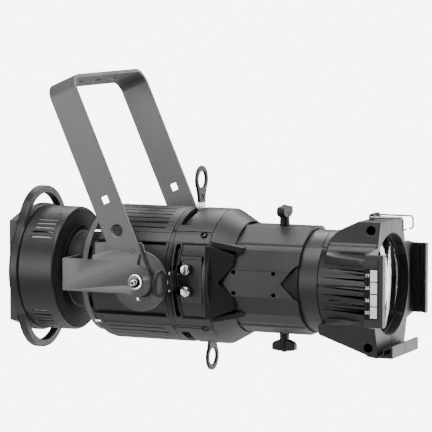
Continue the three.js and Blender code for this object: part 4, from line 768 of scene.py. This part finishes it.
def makeShutterHousing():
    v = frontValues
    shell = turned("shutterHousing", v["profile"], 128)
    rear, front, half = v["panel"]
    for side in (-1, 1):
        skin = block(rear, front, *span(side, 40, 95), -half, half)
        carve(skin, rod("X", ((rear + front) / 2, 0, 0), v["panelRadius"], 60, 128))
        carve(shell, skin)
        carve(shell, plate("notchTool", v["notch"], "Y", *span(side, 30, 95)))
    # flat rails beside the panels as on the reflector housing, each with a line along its outer edge
    turn, width, floor, top = v["line"]
    for angle in housingValues["railTurns"]:
        carve(shell, radialBlock(*v["railEnds"], angle, *housingValues["rail"]))
        edge = angle + math.copysign(turn, angle * (90 - abs(angle)))
        carve(shell, radialBlock(*v["lineEnds"], edge, width, floor, top))
    for x0, x1, middle, half, inner in v["slots"]:
        carve(shell, wedge(x0, x1, middle, half, inner, 96))
    # sloping nose faces between panel and barrel, and the cone's lip over them
    noses = []
    for side in (-1, 1):
        for up in (-1, 1):
            nose = plate("noseTool", [(x, up * z) for x, z in v["nose"]], "Y", *span(side, 62, 84))
            carve(nose, plate("slopeTool", [(x, side * y) for x, y in v["slope"]], "Z", -60, 60))
            noses.append(carve(nose, rod("X", (100, 0, 0), 62, 60, 96)))
            lip = plate("browTool", [(x, up * z) for x, z in v["brow"]], "Y", *span(side, 50, 75.6))
            carve(lip, plate("browCut", [(x, side * y) for x, y in v["browSlope"]], "Z", -60, 60))
            fuse(shell, lip)
    # the access plate's window and the ears for its screws
    carve(shell, block(*v["window"]))
    x, radius, heights = v["windowEars"]
    carveEach(shell, [rod("Y", (x, -85, z), radius, 12) for z in heights])
    # ball screw pockets
    radius, floorRadius, deep = v["pocket"]
    for angle in v["screwTurns"]:
        tool = rod("Z", (0, 0, 0), radius, deep)
        place = (v["screwPlace"], *around(angle, floorRadius + deep / 2))
        carve(shell, fixPlace(tool, (math.pi / 2 - math.radians(angle), 0, 0), place))
    settle(soften(shell, 0.5), "front_barrel", "black_casting", "satinCasting", "shutter_housing")
    # the nose faces take the darker casting finish: painted shade under the cone's lip
    nose = soften(joined(noses, "noseFaces"), 0.4)
    settle(nose, "front_barrel", "black_casting", "darkCastingAndPaintedShade")
    spacers = joined([wedge(*place, *v["spacerBand"]) for place in v["spacers"]], "bladeSpacers")
    settle(soften(spacers, 0.2, 1), "front_barrel", "black_casting", "blackFelt")


makeShutterHousing()
print("spotlight: shutter housing made")

panelValues = {
    "plate": (51.4, 80.1, -84.3, -81, -26.6, 32.6), "frame": (54.8, 76.5, -86.3, -83.6, -23.2, 29.2),
    "back": (52.4, 79.1, -82.4, -81, -25.6, 31.6), "screwX": 59.6, "screwHeights": (16, -12),
    "seats": ((0, 0, 7.6), (-6, 4, 6)), "upperTurn": 96,
    "head": [(-84.7, 0), (-84.7, 6.1), (-85.1, 6.5), (-90.8, 6.5), (-91.6, 6.1), (-92, 5.2), (-92, 0)],
    "slot": (8, -93, -89.6, 0.95), "shank": (-82.5, 3, 5),
    # housing screws with a ball head
    "ball": [(85.1, 0), (85.1, 3.2), (86, 3.6), (87, 3.5), (88, 2.7), (88.6, 1.6), (88.6, 1.1), (87.2, 1),
        (87.1, 0)],
    "ballNodes": {42: "housing_screw_1", 138: "housing_screw_2", -135: "housing_screw_3",
        -45: "housing_screw_4"},
}


def makeAccessPlate():
    v = panelValues
    x = v["screwX"]
    cover = named(block(*v["plate"]), "accessPlate")
    carve(cover, block(*v["frame"]))
    carveEach(cover, [rod("Y", (x + along, -83, height + rise), radius, 8)
                      for height in v["screwHeights"] for along, rise, radius in v["seats"]])
    fuse(cover, block(*v["back"]))
    settle(soften(cover, 0.35), "front_barrel", "black_casting", "satinCasting", "access_plate")
    lower = turned("thumbScrewLower", v["head"], 48, "Y", (x, 0, 0))
    reach, y0, y1, half = v["slot"]
    carve(lower, block(x - reach, x + reach, y0, y1, -half, half))
    y, radius, length = v["shank"]
    soften(fuse(lower, rod("Y", (x, y, 0), radius, length, 24)), 0.25)
    high, low = v["screwHeights"]
    upper = copied(lower, "thumbScrewUpper", shift=(-x, 0, 0))
    fixPlace(upper, (0, math.radians(v["upperTurn"]), 0), (x, 0, high))
    fixPlace(lower, shift=(0, 0, low))
    settle(lower, "front_barrel", "bright_steel", "brightSteel", "thumb_screw_lower")
    settle(upper, "front_barrel", "bright_steel", "brightSteel", "thumb_screw_upper")

    # the top near housing screw is modelled, the others are turned copies
    first, *others = frontValues["screwTurns"]
    ball = turned("housingScrew", v["ball"], 32, "Z", (frontValues["screwPlace"], 0, 0))
    soften(ball, 0.12, 1)
    for angle in others:
        twin = copied(ball, "housingScrew" + str(angle % 360), (math.radians(90 - angle), 0, 0))
        settle(twin, "front_barrel", "bright_steel", "blackOxide", v["ballNodes"][angle])
    fixPlace(ball, (math.radians(90 - first), 0, 0))
    settle(ball, "front_barrel", "bright_steel", "blackOxide", v["ballNodes"][first])


makeAccessPlate()
print("spotlight: access plate and screws made")


# Barrel: a faceted tube with flat sides

barrelValues = {
    "start": 89.4, "front": 205.4, "flange": (86.6, 89.5, 82.4), "bore": (87, 203, 68.4),
    "lip": (45, 245, 66.2),
    "corners": [(16, 71.5), (45.5, 71.5), (47.5, 70), (51.5, 70), (53.6, 71.5), (76.1, 71.5), (103.9, 71.5),
        (124, 71.5), (136.5, 71.5), (138.5, 70), (142, 70), (144, 71.5), (164, 71.5)],
    "notch": [(207, 25.5), (200.9, 23.5), (182.5, 1.3), (201.1, -17.7), (207, -19.5)],
    "holes": ((117.6, 172.6), 13.5, 2.7), "knobX": 159.7, "knobHole": 3.3,
    "paintedShadeLiner": (176, 204.6, 66.3, 67.5),
}


def makeBarrel():
    v = barrelValues
    points = []
    for side, order in ((-1, v["corners"]), (1, v["corners"][::-1])):
        for angle, radius in order:
            a = math.radians(angle)
            points.append((side * radius * math.sin(a), radius * math.cos(a)))
    shell = plate("barrelShell", points, "X", v["start"], v["front"])
    fuse(shell, beamRod(*v["flange"]))
    carve(shell, beamRod(*v["bore"]))
    carve(shell, beamRod(*v["lip"]))
    places, height, radius = v["holes"]
    holes = [rod("Y", (x, 0, z), radius, 160, 24) for x in places for z in (-height, height)]
    carveEach(shell, [rod("Z", (v["knobX"], 0, 0), v["knobHole"], 160, 24)] + holes)
    carveEach(shell, [plate("notchTool", v["notch"], "Y", *span(side, 60, 80)) for side in (-1, 1)])
    soften(shell, 0.7, 2, 12)
    settle(shell, "front_barrel", "black_casting", "satinCasting", "barrel")
    # a black felt sleeve in the bore behind the front notch: painted shade, where the notch shows the
    # shadowed gap
    paintedShadeLiner = soften(sleeve("barrelPaintedShade", *v["paintedShadeLiner"]), 0.1, 1)
    settle(paintedShadeLiner, "front_barrel", "black_casting", "blackFelt")


makeBarrel()
print("spotlight: barrel made")

knobValues = {
    "hub": [(69.1, 0), (69.1, 6.1), (69.5, 6.4), (79, 6.2), (81, 6.45), (89, 6.45), (92.4, 5.8), (94.6, 4),
        (95.6, 1.8), (95.8, 0)],
    "wing": [(0.4, 0.3), (0.86, 0.42), (1, 0.54), (1, 0.76), (0.93, 0.86), (0.7, 0.89), (0.4, 0.91),
        (0.15, 0.92)],
    "foot": 71.8, "halfSpan": 16, "height": 24.2, "thick": 10.6, "shank": (3, 4),
}


def makeKnobs():
    v = knobValues
    x = barrelValues["knobX"]
    top = turned("focusKnobTop", v["hub"], 48, "Z")
    right = [(u * v["halfSpan"], v["foot"] + w * v["height"]) for u, w in v["wing"]]
    left = [(-u, w) for u, w in reversed(right)]
    wing = plate("wingTool", right + left, "X", -v["thick"] / 2, v["thick"] / 2)
    fuse(top, soften(wing, 1.6, 3, 20))
    fuse(top, rod("Z", (0, 0, 70), *v["shank"], 24))
    soften(top, 0.3)
    bottom = copied(top, "focusKnobBottom", (math.pi, 0, math.pi / 2), (x, 0, 0))
    fixPlace(top, shift=(x, 0, 0))
    settle(top, "top_knob", "black_plastic", "darkCastingAndPaintedShade", "focus_knob_top")
    settle(bottom, "bottom_knob", "black_plastic", "darkCastingAndPaintedShade", "focus_knob_bottom")


makeKnobs()
print("spotlight: focus knobs made")


# Lens tube: two half shells with the hood, its rails and ribs

hoodValues = {
    "ribs": (232, 300, (21.5, 11, 1.5, -8, -17, -27)), "edge": 0.9, "cheekBore": 63.2,
    "ribFloor": [(232, 65.6), (304, 74.5), (304, 50), (232, 50)],
    "cheek": (230.5, 300.6, 65.75, 79.8, 45.5),  # rear, front, tube radius, front reach, half height
    "paintedShadeLiner": (295, 305.6, 64.3, 64.92),
    # brows between the wings and the ribs, seen from the side, then their slopes
    "upperBrow": [(237.5, 32.5), (240.5, 41), (238.3, 48), (240.5, 57), (305.5, 57), (305.5, 31.6),
        (288, 31.2), (262, 29.6)],
    "lowerBrow": [(236, -57), (305, -58), (305, -41), (262, -38.5), (240, -41)],
    "upperHollow": [(-46, 57.5), (-50.4, 54), (-51.5, 51), (-54, 47.2), (-57.5, 44.3), (-62, 42.2),
        (-68, 40.6), (-78, 39.3), (-98, 38.8), (-98, 80), (-46, 80)],
    "upperSide": [(228, -60.5), (262, -74), (288, -82.5), (295, -85.8), (321, -85.8), (321, -99),
        (228, -99)],
    "lowerHollow": [(-49, 53.5), (-62, 48), (-84, 37), (-95, 37), (-95, 75), (-49, 75)],
    "lowerSide": [(228, -57.5), (262, -71), (306, -82.5), (306, -99), (228, -99)],
    # the bed above the lip is cut back to the hollow, short of the front wall
    "bedCut": (229.5, 301.5, [(-51.5, 51), (-54, 47.2), (-57.5, 44.3), (-62, 42.2), (-68, 40.6),
        (-78, 39.3), (-98, 38.8), (-98, 62), (-51.5, 62)]),
    "bedLip": (299, 319.6, 84.4, 85.8, 31.6, 39.2),
    # the upper wing is rounded off behind, seen from the side
    "wingCut": [(226, 46.5), (237.9, 46.5), (238.2, 50), (239.1, 54), (240.9, 58.5), (243.8, 62.8),
        (247.8, 67), (252.7, 71), (275.9, 82.1), (275.9, 95), (226, 95)],
}


def makeBrow(word, side, up):
    # a lip that swells out of the wing and turns under above the ribs
    outline, hollow, plan = (hoodValues[word + view] for view in ("Brow", "Hollow", "Side"))
    brow = plate("browTool", outline, "Y", *span(side, 44, 90))
    carve(brow, plate("browSlope", [(-side * y, up * z) for y, z in hollow], "X", 220, 320))
    carve(brow, plate("browPlan", [(x, -side * y) for x, y in plan], "Z", -90, 90))
    carve(brow, rod("X", (268, 0, 0), 64, 90, 96))
    return soften(brow, 2.6, 4, 24)


def makeCheek(side, steps=24):
    # a skin that runs out of the round tube into the flat label bed
    rear, front, radius, reach, half = hoodValues["cheek"]
    top = math.degrees(math.asin(half / radius))
    turns = [math.radians(top - 2 * top * i / steps) for i in range(steps + 1)]
    lines = [
        ("cheekTool", [(rear, side * radius * math.cos(a), radius * math.sin(a)) for a in turns]),
        ("cheekFront", [(front, side * reach, half * (1 - 2 * i / steps)) for i in range(steps + 1)]),
    ]
    skins = []
    for name, points in lines:
        skins.append(chain(name, points))
        leaveEdit()
    skin = joined(skins[::-1])
    edit(skin)
    bpy.ops.mesh.bridge_edge_loops()
    bpy.ops.mesh.select_all(action="SELECT")
    pull((0, -side * 16, 0))
    return fixPlace(tidyFaces(skin))


def cadCopy(node, name):
    source = bpy.data.objects[node]
    obj = bpy.data.objects.new(name, source.data.copy())
    bpy.context.scene.collection.objects.link(obj)
    obj.matrix_world = source.matrix_world.copy()
    fixPlace(obj)
    fixPlace(obj, shift=-tiltAxis)
    obj.data.materials.clear()
    return obj


def makeLensShells():
    v = hoodValues
    rear, front, radius, reach, half = v["cheek"]
    middle = ((rear + front) / 2, 0, 0)
    for side, word in ((-1, "Near"), (1, "Far")):
        shell = tidyFaces(cadCopy("lens_shell_" + word.lower(), "lensShell" + word), 0.02, 0.5)
        trim = block(rear, front, *span(side, 40, 95), -half - 1, half + 1)
        carve(shell, carve(trim, rod("X", middle, radius + 0.1, 90, 128)))
        fuse(shell, carve(makeCheek(side), rod("X", middle, v["cheekBore"], 90, 96)))
        # points merged, or the cuts below can fail
        tidyFaces(shell)
        x0, x1, heights = v["ribs"]
        for z in heights:
            # a tapered groove above each rib, running out at the tube end
            outline = [(x0, z + 0.3), (x1, z + 2.6), (x1, z - 2.6), (x0, z - 0.3)]
            groove = plate("grooveTool", outline, "Y", *span(side, 60, 95))
            floorLine = [(x, side * y) for x, y in v["ribFloor"]]
            carve(shell, carve(groove, plate("grooveFloor", floorLine, "Z", -60, 60)))
        x0, x1, outline = v["bedCut"]
        carve(shell, plate("bedTool", [(-side * y, z) for y, z in outline], "X", x0, x1))
        behind = plate("wingTool", v["wingCut"], "Y", -95, 95)
        carve(shell, carve(behind, rod("X", (250, 0, 0), 66.1, 90, 128)))
        soften(shell, v["edge"], 3, 24)
        x0, x1, inner, outer, z0, z1 = v["bedLip"]
        lip = soften(block(x0, x1, *span(side, inner, outer), z0, z1), 0.5)
        brows = [makeBrow("upper", side, 1), makeBrow("lower", side, -1)]
        shell = joined(brows + [lip, shell], "lensShell" + word)
        settle(shell, "lens_tube", "black_casting", "satinCasting", "lens_shell_" + word.lower())
    # a black felt sleeve inside the hood's front opening: painted shade, the bore's own shadow
    paintedShadeLiner = soften(sleeve("hoodPaintedShade", *v["paintedShadeLiner"], 128), 0.1, 1)
    settle(paintedShadeLiner, "lens_tube", "black_casting", "blackFelt")


makeLensShells()
print("spotlight: lens shells made")

glassValues = {
    "lens": (288.3, 292.3, 64.6, 0.4, 61.5, 12),  # rear, rim, radius, chamfer, dome radius, dome height
    "ring": [(292.6, 62), (292.6, 64.7), (294.6, 64.7), (294.6, 63.6), (293.6, 62), (292.6, 62)],
}


def makeLenses(steps=20):
    v = glassValues
    rear, rim, radius, edge, base, height = v["lens"]
    profile = [(rear, 0), (rear, radius - edge), (rear + edge, radius), (rim - edge, radius),
               (rim, radius - edge), (rim, base)]
    curve = (base * base + height * height) / (2 * height)
    for i in range(1, steps + 1):
        reach = base * (1 - i / steps)
        profile.append((rim + height - (curve - math.sqrt(curve * curve - reach * reach)), reach))
    lens = turned("frontLens", profile, 128)
    pick(lens)
    bpy.ops.object.shade_smooth_by_angle(angle=math.radians(30))
    settle(lens, "lens_tube", "lens_glass", "lensGlass", "front_lens")
    band = soften(turned("lensRing", v["ring"], 128), 0.15, 1)
    settle(band, "lens_tube", "black_plastic", "blackFelt", "lens_ring")


makeLenses()
print("spotlight: lenses made")

scaleValues = {
    "plate": (301.4, 319.6, -85.5, -85.1, -35, 28.5), "fields": (309.2, 318.2),
    "fieldEdges": (27.6, 12.1, -3.3, -18.8, -34.2), "fieldFaces": (-85.62, -85.46), "gaps": (0.9, 0.5),
    "numbers": ("19", "26", "36", "50"), "numberPlace": (305.2, -85.54), "numberSize": 6.2,
    "numberRise": 0.08,
}


def makeScale():
    v = scaleValues
    backing = soften(named(block(*v["plate"]), "scalePlate"), 0.12, 1)
    settle(backing, "lens_tube", "scale_plate", "scaleBlack", "label_plate")
    rows = list(zip(v["fieldEdges"], v["fieldEdges"][1:], v["numbers"]))
    below, above = v["gaps"]
    white = joined([block(*v["fields"], *v["fieldFaces"], low + below, top - above)
                    for top, low, number in rows], "scaleFields")
    settle(soften(white, 0.03, 1), "lens_tube", "scale_plate", "scaleWhite")
    digits = []
    for top, low, number in rows:
        pick()
        bpy.ops.object.text_add()
        text = bpy.context.object.data
        text.body = number
        text.size = v["numberSize"] * mm
        text.align_x = text.align_y = "CENTER"
        text.extrude = v["numberRise"] * mm
        pick(bpy.context.object)
        bpy.ops.object.convert(target="MESH")
        place = (*v["numberPlace"], (low + top) / 2)
        digits.append(fixPlace(bpy.context.object, (math.pi / 2, 0, 0), place))
    marks = tidyFaces(joined(digits, "scaleNumbers"), merge=0)
    settle(marks, "lens_tube", "scale_plate", "scaleWhite")


makeScale()
print("spotlight: focus scale made")


# Wire clip over the frame slots

wireValues = {
    "radius": 1.2, "bend": 1.6,
    "path": [(327.7, -7.5, 71), (327.7, -18.5, 71), (327.7, -18.5, 84), (325.7, -18.5, 86),
        (283, -18.5, 86), (283, 18.5, 86), (325.7, 18.5, 86), (327.7, 18.5, 84), (327.7, 18.5, 71),
        (327.7, 7.5, 71)],
}


def makeClip():
    v = wireValues
    wire = chain("frameClip", v["path"])
    leaveEdit()
    edit(wire)
    bpy.ops.mesh.bevel(offset=v["bend"] * mm, segments=4, affect="VERTICES")
    leaveEdit()
    pick(wire)
    bpy.ops.object.convert(target="CURVE")
    curve = bpy.context.object.data
    curve.bevel_depth = v["radius"] * mm
    curve.bevel_resolution = 5
    curve.use_fill_caps = True
    bpy.ops.object.convert(target="MESH")
    wire = tidyFaces(fixPlace(bpy.context.object))
    bpy.ops.object.shade_smooth_by_angle(angle=math.radians(50))
    settle(wire, "frame_clip", "bright_steel", "springSteel", "gel_clip")


makeClip()
print("spotlight: clip made")


# Framing shutters: ring handles riveted to thin blades

handleValues = {
    "thick": 4, "ring": (30, 18), "finger": (12.4, 11), "eye": (7, 3), "edge": 1.1,
    "foot": [(9.5, 0), (10.2, 7), (12.5, 15)],
    "places": {  # x, across, start, turn about the beam
        "top": (39.7, 6, 93.6, 0), "far": (42, 0, 98.3, -90), "near": (44.3, 1.5, 105.3, 90),
        "bottom": (46.6, 25, 81.3, 180),
    },
}


def makeHandles(steps=56):
    v = handleValues
    middle, radius = v["ring"]
    foot = v["foot"]
    outline = [(-foot[0][0], 0)] + foot + arc(0, middle, radius, -40, 220, steps)
    outline += [(-u, w) for u, w in foot[:0:-1]]
    handle = plate("handleTool", outline, "X", -v["thick"] / 2, v["thick"] / 2)
    across, tall = v["finger"]
    turns = [math.tau * i / steps for i in range(steps)]
    hole = [(across * math.cos(a), middle + tall * math.sin(a)) for a in turns]
    carve(handle, plate("fingerTool", hole, "X", -4, 4))
    height, radius = v["eye"]
    soften(carve(handle, rod("X", (0, 0, height), radius, 12)), v["edge"], 3)
    for word, (x, across, start, turn) in v["places"].items():
        one = copied(handle, "shutterHandle" + word.capitalize(), shift=(x, 0, start))
        upright = turn in (0, 180)
        fixPlace(one, (math.radians(turn), 0, 0), (0, across, 0) if upright else (0, 0, across))
        settle(one, word + "_shutter", "black_casting", "darkCastingAndPaintedShade", "shutter_handle_" + word)
    bpy.data.objects.remove(handle, do_unlink=True)


makeHandles()
print("spotlight: shutter handles made")


# Inner pieces keep the solid's shape and get a finish

innerFinish = {
    "turn_ring": "darkCastingAndPaintedShade", "driver_board": "boardGreen", "led_board": "boardGreen",
    "reflector": "mirrorCoat", "heat_sink": "bareAluminium", "fan_frame": "mouldedPlastic",
    "fan_rotor": "mouldedPlastic", "shutter_plate_rear": "dullPlate", "shutter_plate_front": "dullPlate",
    "shutter_separator": "dullPlate", "rear_lens": "lensGlass", "shutter_blade_top": "bareAluminium",
    "shutter_blade_far": "bareAluminium", "shutter_blade_near": "bareAluminium",
    "shutter_blade_bottom": "bareAluminium",
}
for node, finishName in innerFinish.items():
    paint(bpy.data.objects[node], finishName)
print("spotlight: inner pieces finished")
